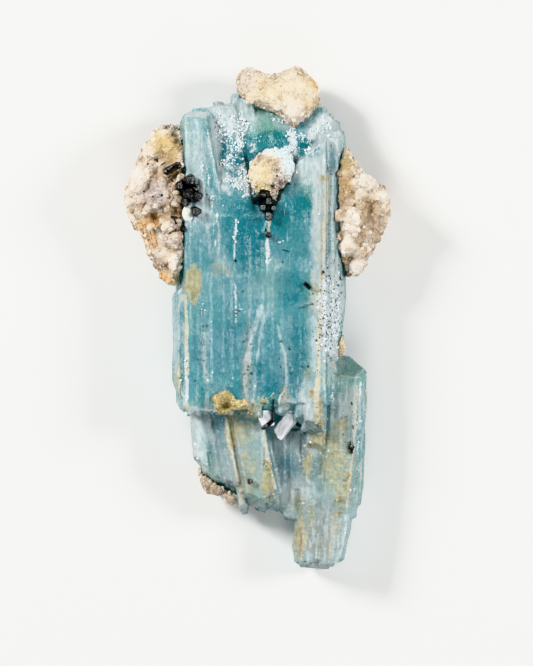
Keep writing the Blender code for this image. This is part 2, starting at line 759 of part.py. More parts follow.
def build():
    clear_scene()
    work = collection("construction")
    specimen = collection("aquamarine_crystal")
    beryl = main_crystal_columns() + side_crystal_columns() + lower_crystal_columns()

    def clearance(*names):
        """Grown copies of finished pieces, which cut their neighbours."""
        made = []
        for name in names:
            if name == "beryl_crystals":
                made.append(crystal("clearance", beryl, CONTACT_GAP, work))
            elif name in SCHORL:
                made.append(schorl_group("clearance", SCHORL[name], CONTACT_GAP, work))
            elif name in BLADES:
                made.append(blade("clearance", BLADES[name], CONTACT_GAP, work))
            elif name == "quartz_bead":
                made.append(bead(CONTACT_GAP, work))
        return made

    def place(obj, finish_name, *cutters):
        if cutters:
            combine(obj, clearance(*cutters), "DIFFERENCE")
            keep_largest(obj)
        finish(obj, finish_name, specimen)

    place(crystal("beryl_crystals", beryl, 0.0, work), "aquamarine")
    for name, prisms in SCHORL.items():
        place(schorl_group(name, prisms, 0.0, work), "schorl", "beryl_crystals")
    for name, spec in BLADES.items():
        place(blade(name, spec, 0.0, work), "cleavelandite", "beryl_crystals", "schorl_hook")
    place(bead(0.0, work), "cleavelandite", "beryl_crystals", *SCHORL)
    for name, spec in LUMPS.items():
        place(lump(name, spec, work), "feldspar", "beryl_crystals", *SCHORL, "quartz_bead")
    place(lump("iron_crust", CRUST, work), "iron_crust", "beryl_crystals")
    bpy.data.collections.remove(work)


build()
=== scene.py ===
"""Dresses the aquamarine specimen: striated beryl, sugary feldspar, schorl and crusts."""

import math

import bmesh
import bpy
import numpy as np
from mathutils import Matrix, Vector
from mathutils.bvhtree import BVHTree


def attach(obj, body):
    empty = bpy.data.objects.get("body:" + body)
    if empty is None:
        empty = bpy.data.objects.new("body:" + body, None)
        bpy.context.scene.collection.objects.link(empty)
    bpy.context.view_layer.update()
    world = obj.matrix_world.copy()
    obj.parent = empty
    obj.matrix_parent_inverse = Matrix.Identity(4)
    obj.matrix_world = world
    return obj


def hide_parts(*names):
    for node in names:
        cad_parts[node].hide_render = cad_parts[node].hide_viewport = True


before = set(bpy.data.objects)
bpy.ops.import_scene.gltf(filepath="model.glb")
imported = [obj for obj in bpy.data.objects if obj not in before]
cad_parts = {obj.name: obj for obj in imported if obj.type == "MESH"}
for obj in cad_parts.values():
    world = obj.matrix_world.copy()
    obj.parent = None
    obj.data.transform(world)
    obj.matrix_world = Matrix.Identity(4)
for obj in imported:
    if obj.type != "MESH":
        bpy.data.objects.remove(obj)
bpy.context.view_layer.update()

MM = 0.001

# Mesh fineness, in metres.
BERYL_GRID = 0.375 * MM
CRUST_GRID = 0.25 * MM
BLADE_GRID = 0.12 * MM

# Feldspar and grains stay this far above the ground, in millimetres.
LOWEST = 0.02

# The lower left bundle and the side crystal lean a little from the main crystal's axis.
BUNDLE_LEAN = math.tan(math.radians(11.0))
SIDE_LEAN = -math.tan(math.radians(4.0))


# ---------------------------------------------------------------- noise on arrays


def lattice_random(i, j, k, seed):
    """A repeatable random number from 0 to 1 at each whole-numbered point."""
    n = (
        i.astype(np.int64) * 73856093
        ^ j.astype(np.int64) * 19349663
        ^ k.astype(np.int64) * 83492791
        ^ seed * 40503
    )
    n = (n & 0xFFFFFFFF).astype(np.uint64)
    n = ((n ^ (n >> np.uint64(16))) * np.uint64(0x7FEB352D)) & np.uint64(0xFFFFFFFF)
    n = ((n ^ (n >> np.uint64(15))) * np.uint64(0x846CA68B)) & np.uint64(0xFFFFFFFF)
    n = n ^ (n >> np.uint64(16))
    return n.astype(np.float64) / 4294967295.0


def soft_noise(points, seed):
    """Smooth noise from -1 to 1."""
    base = np.floor(points)
    part = points - base
    part = part * part * (3 - 2 * part)
    base = base.astype(np.int64)
    total = np.zeros(len(points))
    for corner in range(8):
        step = np.array([corner & 1, (corner >> 1) & 1, (corner >> 2) & 1])
        weight = np.prod(np.where(step, part, 1 - part), axis=1)
        at = base + step
        total += weight * lattice_random(at[:, 0], at[:, 1], at[:, 2], seed)
    return total * 2 - 1


def layered_noise(points, seed, layers=3):
    total = np.zeros(len(points))
    strength = 1.0
    for layer in range(layers):
        total += strength * soft_noise(points * 2.03**layer, seed + layer * 17)
        strength *= 0.5
    return total / (2 - 2 * 0.5**layers)


def grain_distance(points, seed):
    """Distance to the nearest of many points, scattered one to each unit of space."""
    base = np.floor(points).astype(np.int64)
    nearest = np.full(len(points), 9.0)
    for step in np.ndindex(3, 3, 3):
        at = base + np.array(step) - 1
        i, j, k = at.T
        inside = np.stack([lattice_random(i, j, k, seed + n) for n in (1, 2, 3)], axis=1)
        nearest = np.minimum(nearest, np.linalg.norm(at + inside - points, axis=1))
    return nearest


def ease(low, high, value):
    """0 below low, 1 above high, smooth between."""
    t = np.clip((value - low) / (high - low), 0.0, 1.0)
    return t * t * (3 - 2 * t)


# ---------------------------------------------------------------- marks placed one by one


def from_line(xy, line):
    """Distance from each point to a broken line."""
    best = np.full(len(xy), 1e9)
    for start, end in zip(line[:-1], line[1:]):
        a = np.array(start)
        b = np.array(end)
        along = np.clip(((xy - a) @ (b - a)) / max(1e-9, float((b - a) @ (b - a))), 0, 1)
        best = np.minimum(best, np.linalg.norm(xy - (a + along[:, None] * (b - a)), axis=1))
    return best


def warped(points, reach, scale, seed):
    """Points shifted about by noise, so that marks laid on them wander naturally."""
    shift_x = layered_noise(points * scale, seed, 2)
    shift_y = layered_noise(points * scale, seed + 50, 2)
    return points[:, :2] + np.stack([reach * shift_x, 2.2 * reach * shift_y], axis=1)


def streaks(points, table, seed):
    """The strongest of several uneven lines: (half width, strength, line)."""
    xy = warped(points, 0.22, 0.5, seed)
    total = np.zeros(len(xy))
    for n, (half, strength, line) in enumerate(table):
        near = np.flatnonzero(from_line(xy, line) < half * 3 + 1)
        away = from_line(xy[near], line)
        swell = layered_noise(points[near] * np.array([0.15, 0.45, 0.15]) + 7.3 * n, seed + 3, 2)
        body = 1 - ease(0.35, 1.5, away / (half * (1 + 0.75 * swell)))
        patchy = 1 + 0.55 * layered_noise(points[near] * np.array([0.9, 0.4, 0.9]), seed + 9, 2)
        total[near] = np.maximum(total[near], strength * body * np.clip(patchy, 0.3, 1.3))
    return total


def patches(points, table, seed):
    """The strongest of several soft, uneven patches: (x, y, half width, half height, strength)."""
    xy = warped(points, 0.8, 0.28, seed)
    rough = 0.22 * layered_noise(points * np.array([0.8, 0.4, 0.8]), seed + 5, 3)
    total = np.zeros(len(xy))
    for x, y, half_x, half_y, strength in table:
        away = np.hypot((xy[:, 0] - x) / half_x, (xy[:, 1] - y) / half_y) + rough
        total = np.maximum(total, strength * (1 - ease(0.1, 1.8, away)))
    return total


MILKY_STREAKS = [
    (0.5, 1.0, [(-10.3, 45.2), (-9.3, 37.0), (-7.6, 31.0), (-6.2, 27.6)]),
    (0.45, 0.7, [(-16.7, 44.0), (-16.2, 30.0), (-15.9, 12.0)]),
    (0.5, 0.6, [(-12.6, 34.0), (-12.2, 30.0), (-11.4, 24.0), (-10.6, 18.0), (-10.3, 13.0)]),
    (0.35, 0.6, [(-11.0, 31.5), (-10.4, 26.0), (-9.4, 21.0)]),
    (0.4, 0.55, [(-9.0, 24.0), (-8.4, 19.0), (-8.6, 14.0), (-9.1, 9.0)]),
    (0.25, 0.5, [(-13.0, 21.5), (-13.3, 19.0)]),
    (0.3, 0.9, [(-4.7, 21.8), (-4.9, 19.0), (-5.0, 14.5)]),
    (0.2, 0.8, [(-5.0, 15.0), (-4.9, 6.0), (-4.7, -1.5)]),
    (0.55, 1.0, [(2.0, 16.5), (2.2, 13.5)]),
    (0.3, 0.9, [(2.0, 20.0), (2.1, 15.0), (2.1, 12.0), (2.0, 9.0)]),
    (0.14, 0.7, [(5.6, 27.2), (6.3, 24.4), (6.5, 20.0), (6.4, 15.5)]),
    (0.14, 0.5, [(4.4, 25.0), (5.8, 22.0), (6.4, 19.6)]),
    (0.14, 0.6, [(-6.9, 24.4), (-5.9, 22.0), (-5.1, 19.5)]),
    (0.75, 0.75, [(0.9, 2.6), (-0.7, -2.0), (-1.8, -6.0), (-2.7, -12.0), (-2.4, -19.0)]),
    (0.5, 0.65, [(1.7, 1.4), (0.5, -4.0), (-0.2, -10.0), (-1.0, -18.5)]),
    (0.42, 0.75, [(4.3, -1.6), (5.2, -5.0), (6.1, -9.0), (6.4, -13.0), (5.7, -18.5)]),
    (0.3, 0.5, [(2.2, 8.0), (2.4, 1.0)]),
    (0.25, 0.45, [(6.7, 1.0), (7.3, -6.0)]),
    (0.25, 0.5, [(-11.6, 4.0), (-11.6, -3.0)]),
    (0.7, 0.65, [(-11.7, -3.0), (-11.7, -9.0), (-11.1, -14.0), (-11.0, -19.5)]),
    (0.5, 0.9, [(-16.1, -1.0), (-15.9, -10.0), (-15.6, -19.0)]),
    (0.3, 0.5, [(-12.9, -9.0), (-13.4, -18.0)]),
    (0.25, 0.4, [(-7.0, 2.0), (-7.4, -7.0)]),
    (0.25, 0.4, [(-7.4, -11.0), (-7.1, -15.5)]),
    (0.45, 0.8, [(-18.4, 5.0), (-18.1, -8.0), (-17.3, -19.0)]),
    (0.5, 0.9, [(-17.1, 9.0), (-17.0, 3.0)]),
    (0.3, 0.8, [(8.6, -13.0), (8.6, -19.5)]),
    # Lower left bundle.
    (1.1, 1.0, [(-13.9, -20.5), (-13.8, -25.0), (-13.9, -29.0), (-13.0, -34.5)]),
    (0.35, 0.7, [(-11.0, -21.0), (-10.0, -25.0), (-9.0, -31.0), (-7.8, -36.5)]),
    (0.4, 0.9, [(-7.4, -35.0), (-6.6, -39.0)]),
    (0.6, 0.8, [(-3.6, -41.6), (-0.6, -41.6)]),
    (0.4, 0.7, [(0.2, -21.5), (1.2, -26.5), (0.9, -33.0)]),
    (0.12, 0.9, [(-3.1, -32.2), (-2.6, -33.4)]),
    # Side crystal.
    (0.5, 0.8, [(22.6, -16.0), (22.2, -24.0)]),
    (0.3, 0.7, [(23.4, -14.0), (23.3, -24.0), (22.6, -34.0)]),
    (0.9, 0.7, [(19.7, -44.0), (19.0, -50.0), (17.8, -53.4)]),
    (0.3, 0.6, [(12.6, -44.0), (11.6, -53.0)]),
    (0.4, 0.5, [(15.6, -41.0), (14.6, -48.0)]),
    (0.5, 0.7, [(5.4, -42.6), (6.6, -44.0)]),
    (0.5, 0.6, [(17.0, -45.0), (16.4, -52.0)]),
    (0.16, 0.9, [(13.6, -42.0), (12.8, -53.0)]),
    (0.14, 0.9, [(18.2, -44.0), (17.4, -52.0)]),
    (0.16, 0.8, [(11.8, -45.0), (11.0, -54.0)]),
    (0.14, 0.9, [(15.4, -44.0), (14.6, -54.0)]),
]
WHITE_STREAKS = [
    # Healed cracks filled with snowy white.
    (0.42, 1.0, [(2.1, 17.2), (2.3, 15.5), (2.2, 12.2)]),
    (0.22, 1.0, [(-4.6, 21.6), (-4.9, 18.0), (-5.0, 14.0)]),
    (0.18, 1.0, [(-5.0, 14.0), (-4.8, 6.0), (-4.8, -1.0)]),
    (0.22, 0.85, [(-12.3, 35.0), (-12.2, 30.0)]),
    (0.22, 0.85, [(-10.9, 33.0), (-10.7, 29.0)]),
    (0.20, 0.75, [(-10.2, 28.0), (-9.8, 22.0), (-9.2, 16.0)]),
    (0.18, 0.75, [(-8.8, 23.0), (-8.5, 17.0)]),
    (0.30, 0.8, [(-3.2, 33.0), (-1.6, 29.0), (-0.3, 26.0), (1.2, 23.4)]),
    (0.25, 0.75, [(13.4, 37.8), (8.8, 34.3), (6.4, 30.4), (4.2, 26.0)]),
    (0.35, 0.85, [(-15.6, -9.0), (-15.4, -14.0), (-15.6, -18.6)]),
    (0.30, 0.75, [(-13.6, -21.0), (-13.8, -26.0), (-13.2, -31.0)]),
    (0.22, 0.8, [(22.7, -14.0), (22.3, -22.0), (21.9, -30.0)]),
    (0.20, 0.7, [(19.5, -43.0), (19.0, -50.0)]),
]
CREAM_STREAKS = [
    (0.38, 1.2, [(15.6, 31.6), (15.2, 27.0), (14.7, 20.0), (14.3, 12.0), (13.9, 5.0), (13.5, -3.0)]),
    (0.46, 1.3, [(13.5, -3.0), (13.4, -8.0), (13.3, -13.0), (12.8, -17.0), (12.9, -20.6)]),
    (0.32, 0.8, [(14.2, -11.6), (14.8, -15.6)]),
    (0.4, 1.4, [(-16.0, 5.0), (-15.6, -3.0), (-15.3, -12.0)]),
    (0.32, 0.8, [(-17.4, -11.0), (-17.0, -15.0), (-16.0, -18.0), (-15.0, -19.6)]),
    (0.24, 1.1, [(-6.8, -21.8), (-6.6, -26.0), (-5.5, -30.0), (-4.5, -34.0), (-3.8, -38.0), (-3.3, -41.8)]),
    (0.30, 1.1, [(0.2, -20.6), (1.7, -26.0), (2.1, -30.4), (2.5, -32.4)]),
    (0.28, 1.0, [(22.0, -15.0), (21.5, -24.0), (20.9, -30.0), (20.3, -36.0), (19.6, -42.0)]),
    (0.20, 0.8, [(24.2, -13.0), (24.0, -22.0)]),
    (0.22, 0.8, [(23.0, -31.0), (22.5, -38.0)]),
    (0.16, 0.7, [(16.7, -8.8), (17.4, -11.0)]),
    (0.16, 0.9, [(18.0, -12.8), (22.6, -12.9)]),
    (0.2, 0.9, [(2.6, 21.2), (2.5, 19.0)]),
    (0.22, 0.9, [(-3.6, -21.0), (-2.2, -20.4), (-1.6, -18.9), (-0.9, -18.0), (-0.3, -19.4), (0.1, -20.4)]),
    (0.18, 0.9, [(0.1, -16.8), (0.7, -18.2), (0.9, -19.8)]),
    (0.2, 0.8, [(2.2, -17.4), (3.0, -16.8), (3.6, -16.2)]),
    (0.25, 0.8, [(4.6, -18.8), (5.0, -17.0), (5.8, -16.2)]),
    (0.2, 0.7, [(-14.0, -19.8), (-10.6, -20.2)]),
    (0.3, 0.5, [(-14.3, -22.0), (-14.2, -27.0), (-14.1, -31.0), (-13.0, -35.0)]),
    (0.7, 0.8, [(-12.6, -32.0), (-11.6, -35.4), (-9.0, -38.2), (-6.0, -40.6)]),
    (0.3, 0.6, [(-6.4, -38.8), (-4.2, -42.6)]),
    (0.14, 0.7, [(16.6, -43.0), (16.0, -53.0)]),
    (0.12, 0.7, [(11.2, -43.0), (10.4, -53.0)]),
    (0.12, 0.6, [(14.8, -41.0), (13.6, -53.0)]),
]
MILKY_PATCHES = [
    # x, y, half width, half height, strength
    (-13.6, 36.0, 4.2, 12.0, 0.78),
    (-12.6, 25.0, 4.0, 6.5, 0.75),
    (-14.8, 14.0, 1.6, 6.0, 0.40),
    (-16.4, 38.0, 1.0, 9.0, 0.95),
    (13.2, 24.0, 1.9, 14.0, 1.05),
    (13.2, 6.0, 1.9, 9.0, 0.95),
    (12.8, -6.0, 1.8, 12.0, 0.9),
    (16.4, 0.0, 3.6, 14.0, 1.3),
    (17.0, 24.0, 2.4, 16.0, 0.80),
    (16.4, 12.0, 2.4, 4.0, 0.9),
    (15.6, 41.0, 4.6, 6.0, 1.15),
    (11.0, -17.0, 2.6, 5.0, 0.95),
    (11.0, -24.0, 3.4, 2.6, 0.7),
    (7.4, -18.6, 3.6, 1.2, 0.8),
    (-17.8, -6.0, 1.5, 14.0, 0.75),
    (23.6, -28.0, 1.0, 12.0, 0.45),
    (7.4, 34.0, 2.2, 2.8, 1.0),
    (-6.0, 45.5, 6.0, 4.4, 1.05),
    (-9.0, 39.0, 2.0, 7.0, 0.85),
    (6.6, 43.4, 3.6, 1.8, 0.75),
    (-7.6, 30.0, 2.4, 4.0, 0.80),
    (-12.4, -27.0, 2.2, 7.0, 0.95),
    (-1.0, -33.0, 2.0, 5.0, 0.40),
    (-2.0, -41.4, 3.0, 2.4, 1.1),
    (-3.2, -42.8, 1.6, 1.4, 1.2),
    (17.6, 38.0, 1.8, 6.0, 0.9),
    (9.0, -38.6, 5.6, 3.6, 0.70),
    (17.5, -23.0, 4.6, 3.6, 0.60),
    (18.6, -26.6, 1.8, 1.3, 0.90),
    (12.6, -30.0, 1.8, 2.2, 0.60),
    (14.0, -46.0, 5.2, 8.0, 0.25),
    (20.0, -18.0, 2.6, 3.6, 0.85),
    (-0.6, -24.0, 1.4, 3.0, 0.7),
]
BLOCK_MILK_PATCHES = [
    # The pale top of the block on the right of the notch.
    (10.8, 33.0, 4.4, 4.4, 1.1),
    (15.0, 33.6, 3.2, 5.0, 1.15),
]
DEEP_PATCHES = [
    (2.6, 38.6, 5.6, 2.4, 1.35),
    (-1.2, 36.4, 3.2, 2.4, 1.0),
    (-3.6, 34.8, 3.0, 2.6, 0.95),
    (10.8, 37.4, 3.4, 3.2, 1.15),
    (-6.6, 36.6, 2.8, 2.8, 0.80),
    (-6.0, 31.0, 2.4, 3.6, 0.65),
    (-3.4, 23.6, 5.4, 4.6, 0.85),
    (-6.2, 20.0, 2.2, 5.0, 0.85),
    (-2.0, 17.0, 4.4, 6.6, 1.35),
    (-1.2, 12.4, 3.6, 4.6, 0.75),
    (9.0, 23.8, 4.4, 4.4, 1.35),
    (5.2, 21.4, 3.4, 4.6, 1.1),
    (8.0, 16.6, 4.4, 7.0, 0.80),
    (7.6, 7.0, 4.0, 9.0, 0.80),
    (8.7, -7.0, 2.2, 14.0, 0.95),
    (0.7, -11.0, 1.4, 4.4, 0.95),
    (3.2, -14.6, 3.6, 5.4, 0.80),
    (3.6, -5.0, 2.8, 7.0, 0.65),
    (-4.6, -14.0, 2.6, 5.4, 0.75),
    (-6.4, -5.0, 5.6, 12.0, 0.64),
    (-2.0, 4.0, 5.0, 6.0, 0.40),
    (-13.0, -9.0, 2.0, 9.0, 0.55),
    (-11.6, -17.6, 2.4, 3.6, 0.60),
    (7.0, -32.0, 4.4, 4.0, 0.65),
    (13.0, -33.6, 2.6, 4.6, 0.45),
    (12.6, -24.0, 3.4, 2.0, 0.50),
    (-10.8, -29.0, 1.8, 3.2, 0.65),
    (-8.4, -24.0, 2.0, 3.6, 0.50),
    (19.0, -10.4, 6.0, 3.2, 0.50),
    (22.9, -28.0, 1.4, 11.0, 0.5),
    (12.4, -48.0, 1.8, 6.0, 0.30),
    (14.0, -48.0, 5.0, 7.0, 0.2),
]
GREEN_PATCHES = [
    (2.0, 43.0, 5.6, 3.2, 1.0),
    (10.8, 28.4, 2.0, 3.2, 0.8),
    (-4.0, 41.5, 3.4, 3.6, 0.45),
    (16.8, 41.0, 3.0, 3.6, 0.35),
    (-13.0, 38.0, 3.0, 6.0, 0.30),
    (2.0, 9.0, 4.0, 5.0, 0.35),
    (12.2, 7.6, 1.6, 2.2, 0.5),
    (2.0, -18.6, 2.6, 1.6, 0.7),
    (-11.6, -18.6, 2.8, 2.2, 0.6),
    (-15.4, -20.2, 1.6, 1.6, 0.8),
    (19.0, -11.6, 6.0, 4.2, 1.0),
    (18.6, -20.0, 2.0, 2.4, 0.6),
    (-10.8, -29.6, 1.4, 2.6, 0.9),
    (-9.8, -33.0, 2.0, 2.4, 0.5),
    (-1.0, -38.0, 3.6, 4.6, 0.7),
    (17.0, -33.0, 4.0, 8.0, 0.6),
    (14.0, -52.0, 4.0, 3.0, 0.3),
    (-1.6, -29.0, 2.6, 7.0, 0.4),
]
GREY_PATCHES = [
    (8.0, -33.0, 7.0, 9.0, 0.85),
    (11.0, -24.0, 4.6, 3.0, 0.8),
    (-5.0, -33.0, 3.2, 8.0, 0.60),
    (-9.6, -27.0, 4.4, 8.0, 0.6),
    (18.0, -20.6, 3.6, 4.0, 0.60),
    (5.6, -17.6, 1.6, 3.0, 0.6),
    (-2.3, -10.6, 1.0, 9.0, 0.9),
    (10.6, -18.0, 2.4, 3.0, 0.7),
    (14.0, -48.0, 5.4, 8.0, 1.1),
    (8.6, -12.0, 3.0, 8.0, 0.35),
    (19.0, -32.0, 3.0, 12.0, 0.5),
]
YELLOW_PATCHES = [
    (-14.2, 8.0, 1.55, 3.0, 2.4),
    (14.4, 30.8, 1.1, 0.8, 1.1),
    (-5.6, -24.6, 1.3, 4.2, 1.4),
    (-3.4, -25.2, 2.4, 5.0, 0.50),
    (-1.8, -23.0, 2.0, 2.6, 0.45),
    (-2.2, -34.6, 2.8, 6.6, 0.55),
    (2.4, -35.4, 1.6, 4.6, 0.85),
    (17.2, -31.6, 4.0, 7.6, 0.62),
    (17.4, -27.4, 3.4, 2.4, 0.55),
    (18.4, -23.6, 2.6, 2.2, 0.60),
    (18.6, -37.6, 2.4, 5.4, 0.65),
    (11.3, -31.0, 1.2, 4.2, 0.70),
    (13.4, -26.8, 2.8, 1.6, 0.90),
    (13.4, -20.6, 0.9, 3.4, 0.9),
    (11.8, -16.8, 1.0, 1.0, 0.9),
    (11.4, -12.6, 0.9, 1.4, 0.5),
    (12.0, -43.0, 1.4, 4.0, 0.55),
    (16.8, -45.6, 2.4, 4.0, 0.40),
    (9.2, -48.0, 1.2, 6.0, 0.95),
    (14.0, -48.0, 4.8, 7.0, 0.32),
    (-8.4, 10.4, 1.8, 1.6, 0.50),
    (-6.4, 9.8, 0.9, 0.9, 0.55),
    (12.8, 6.0, 1.8, 5.0, 0.45),
    (16.4, 0.0, 3.0, 12.0, 0.25),
    (14.4, 20.0, 1.6, 12.0, 0.40),
    (1.0, -17.8, 1.2, 0.9, 0.6),
    (5.9, -17.0, 0.7, 2.6, 0.5),
    (-1.6, -20.0, 2.4, 2.0, 0.7),
    (-2.4, -12.0, 1.2, 7.0, 0.35),
    (-16.0, 43.6, 2.0, 2.0, 0.30),
    (9.0, -40.0, 5.0, 2.4, 0.45),
    (-17.4, -14.0, 1.0, 4.0, 0.6),
    (20.4, -18.0, 3.0, 4.0, 0.35),
]
RUST_PATCHES = [
    (-14.3, 5.6, 1.1, 1.2, 0.42),
    (18.4, -40.4, 0.7, 1.0, 0.5),
    (17.6, -42.6, 0.5, 1.4, 0.5),
    (16.4, -41.0, 0.6, 0.5, 0.45),
    (9.0, -49.4, 0.8, 4.2, 0.55),
    (-5.3, -27.4, 0.7, 2.2, 0.45),
    (19.5, -35.8, 0.9, 1.0, 0.45),
    (11.8, -16.7, 0.8, 0.7, 0.6),
    (6.1, -12.6, 0.4, 1.6, 0.45),
    (13.6, -18.4, 0.6, 2.4, 0.4),
    (23.9, -17.0, 0.4, 3.0, 0.4),
]
SPECK_PATCHES = [
    (15.4, 2.6, 4.0, 10.0, 0.9),
    (14.4, 14.0, 2.6, 6.0, 0.35),
    (-11.7, -6.0, 1.2, 8.0, 1.2),
    (-2.3, -9.6, 1.4, 9.0, 1.6),
    (-0.9, -2.0, 0.8, 3.0, 1.1),
    (5.9, -10.0, 1.1, 8.0, 1.4),
    (-4.8, 8.0, 0.5, 11.0, 1.3),
    (-13.4, -13.0, 1.5, 4.0, 0.25),
    (12.6, -4.6, 1.0, 9.0, 0.5),
    (9.6, -10.6, 1.8, 3.0, 0.35),
    (-2.6, -20.6, 2.4, 1.4, 0.6),
    (18.6, -20.0, 2.6, 3.0, 0.3),
]
FROST_PATCHES = [
    (16.2, 1.0, 2.6, 10.0, 1.1),
    (16.6, -14.0, 1.0, 4.0, 0.4),
    (-8.0, 42.0, 1.8, 5.0, 0.62),
    (-5.6, 42.0, 1.2, 4.0, 0.72),
    (-3.6, 41.0, 1.1, 4.4, 0.92),
    (-6.4, 34.6, 2.4, 3.4, 0.48),
    (-3.4, 33.6, 1.2, 2.4, 0.55),
    (-6.2, 31.0, 1.3, 1.8, 0.75),
    (-3.2, 30.6, 1.9, 1.9, 0.85),
    (-3.4, 28.3, 2.8, 1.5, 0.95),
    (-5.4, 37.0, 2.4, 2.4, 0.52),
    (-1.2, 37.6, 1.4, 1.6, 0.38),
    (0.6, 38.6, 1.4, 1.0, 0.30),
    (4.6, 43.4, 2.4, 0.8, 0.5),
    (7.6, 39.6, 1.1, 2.4, 1.0),
    (6.6, 36.0, 2.2, 1.8, 1.0),
    (4.4, 36.0, 1.6, 0.7, 0.6),
    (9.8, 39.8, 2.2, 1.6, 0.5),
    (12.8, 40.6, 2.0, 2.4, 0.72),
    (12.0, 37.2, 1.2, 1.8, 0.45),
    (15.4, 43.0, 2.6, 2.4, 0.55),
    (17.6, 39.0, 1.4, 4.0, 0.45),
    (7.8, 33.4, 1.2, 1.6, 0.8),
]


# ---------------------------------------------------------------- mesh handling


def placed(name, data):
    """Puts an object with the given mesh, lamp or camera in the scene."""
    obj = bpy.data.objects.new(name, data)
    bpy.context.scene.collection.objects.link(obj)
    return obj


def read_points(mesh):
    values = np.empty(len(mesh.vertices) * 3)
    mesh.vertices.foreach_get("co", values)
    return values.reshape(-1, 3)


def write_points(mesh, points):
    mesh.vertices.foreach_set("co", points.ravel())
    mesh.update()


def read_normals(mesh):
    values = np.empty(len(mesh.vertices) * 3)
    mesh.vertex_normals.foreach_get("vector", values)
    return values.reshape(-1, 3)


def store(mesh, name, values):
    """Keeps one number per point for the finishes to read."""
    layer = mesh.attributes.new(name, "FLOAT", "POINT")
    layer.data.foreach_set("value", np.asarray(values, np.float32))


def store_vector(mesh, name, values):
    layer = mesh.attributes.new(name, "FLOAT_VECTOR", "POINT")
    layer.data.foreach_set("vector", np.asarray(values, np.float32).ravel())


def neighbours(mesh):
    """Edge ends and the number of edges at each point."""
    ends = np.empty(len(mesh.edges) * 2, np.int64)
    mesh.edges.foreach_get("vertices", ends)
    ends = ends.reshape(-1, 2)
    count = np.bincount(ends.ravel(), minlength=len(mesh.vertices)).astype(float)
    return ends, np.maximum(count, 1)


def relaxed(values, ends, count, rounds):
    """Values averaged with their neighbours a number of times."""
    size = len(values)
    values = values.reshape(size, -1).copy()
    for _ in range(rounds):
        for column in range(values.shape[1]):
            given = values[:, column]
            total = np.bincount(ends[:, 0], given[ends[:, 1]], size)
            total += np.bincount(ends[:, 1], given[ends[:, 0]], size)
            values[:, column] = 0.5 * given + 0.5 * total / count
    return values


def standing_out(points, normals, ends, count, rounds):
    """How far each point stands proud of its surroundings; hollows are below zero."""
    return np.einsum("ij,ij->i", points - relaxed(points, ends, count, rounds), normals)


def welded(mesh):
    """A copy of a node's mesh with its split corners joined."""
    bm = bmesh.new()
    bm.from_mesh(mesh)
    bmesh.ops.remove_doubles(bm, verts=bm.verts, dist=1e-6)
    made = bpy.data.meshes.new(mesh.name + "_welded")
    bm.to_mesh(made)
    bm.free()
    return made


def dense_copy(node, name, grid, hug):
    """An even fine mesh over a node's solid; hug pulls it back onto the solid's own faces."""
    solid = welded(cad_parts[node].data)
    obj = placed(name, solid)
    remesh = obj.modifiers.new("grid", "REMESH")
    remesh.mode = "VOXEL"
    remesh.voxel_size = grid
    graph = bpy.context.evaluated_depsgraph_get()
    mesh = bpy.data.meshes.new_from_object(obj.evaluated_get(graph))
    obj.modifiers.clear()
    obj.data = mesh
    bm = bmesh.new()
    bm.from_mesh(solid)
    tree = BVHTree.FromBMesh(bm)
    bm.free()
    points = read_points(mesh)
    snapped = points.copy()
    for n, point in enumerate(points):
        hit = tree.find_nearest(Vector(point), grid * 3)
        if hit[0] is not None:
            snapped[n] = hit[0]
    write_points(mesh, points + (snapped - points) * hug)
    return obj


def join(objects, name):
    """Joins pieces into the first one, attributes included."""
    with bpy.context.temp_override(
        active_object=objects[0], object=objects[0], selected_editable_objects=objects,
        selected_objects=objects,
    ):
        bpy.ops.object.join()
    objects[0].name = name
    return objects[0]


def block_shape():
    """A unit block's corners and sides."""
    corners = np.array(
        [[x, y, z] for z in (-0.5, 0.5) for y in (-0.5, 0.5) for x in (-0.5, 0.5)]
    )
    sides = np.array(
        [[0, 2, 3, 1], [4, 5, 7, 6], [0, 1, 5, 4], [2, 6, 7, 3], [0, 4, 6, 2], [1, 3, 7, 5]]
    )
    return corners, sides


def grain_shape(fineness):
    """A unit grain: a ball with its sides pressed flat."""
    bm = bmesh.new()
    bmesh.ops.create_icosphere(bm, subdivisions=fineness, radius=0.5)
    points = np.array([tuple(v.co) for v in bm.verts])
    sides = np.array([[v.index for v in f.verts] for f in bm.faces])
    bm.free()
    return np.clip(points, -0.42, 0.42), sides


def random_turns(rng, count):
    """Evenly spread random turns."""
    q = rng.normal(size=(count, 4))
    q /= np.linalg.norm(q, axis=1)[:, None]
    w, x, y, z = q.T
    return np.stack(
        [
            np.stack([1 - 2 * (y * y + z * z), 2 * (x * y - z * w), 2 * (x * z + y * w)], 1),
            np.stack([2 * (x * y + z * w), 1 - 2 * (x * x + z * z), 2 * (y * z - x * w)], 1),
            np.stack([2 * (x * z - y * w), 2 * (y * z + x * w), 1 - 2 * (x * x + y * y)], 1),
        ],
        axis=1,
    )


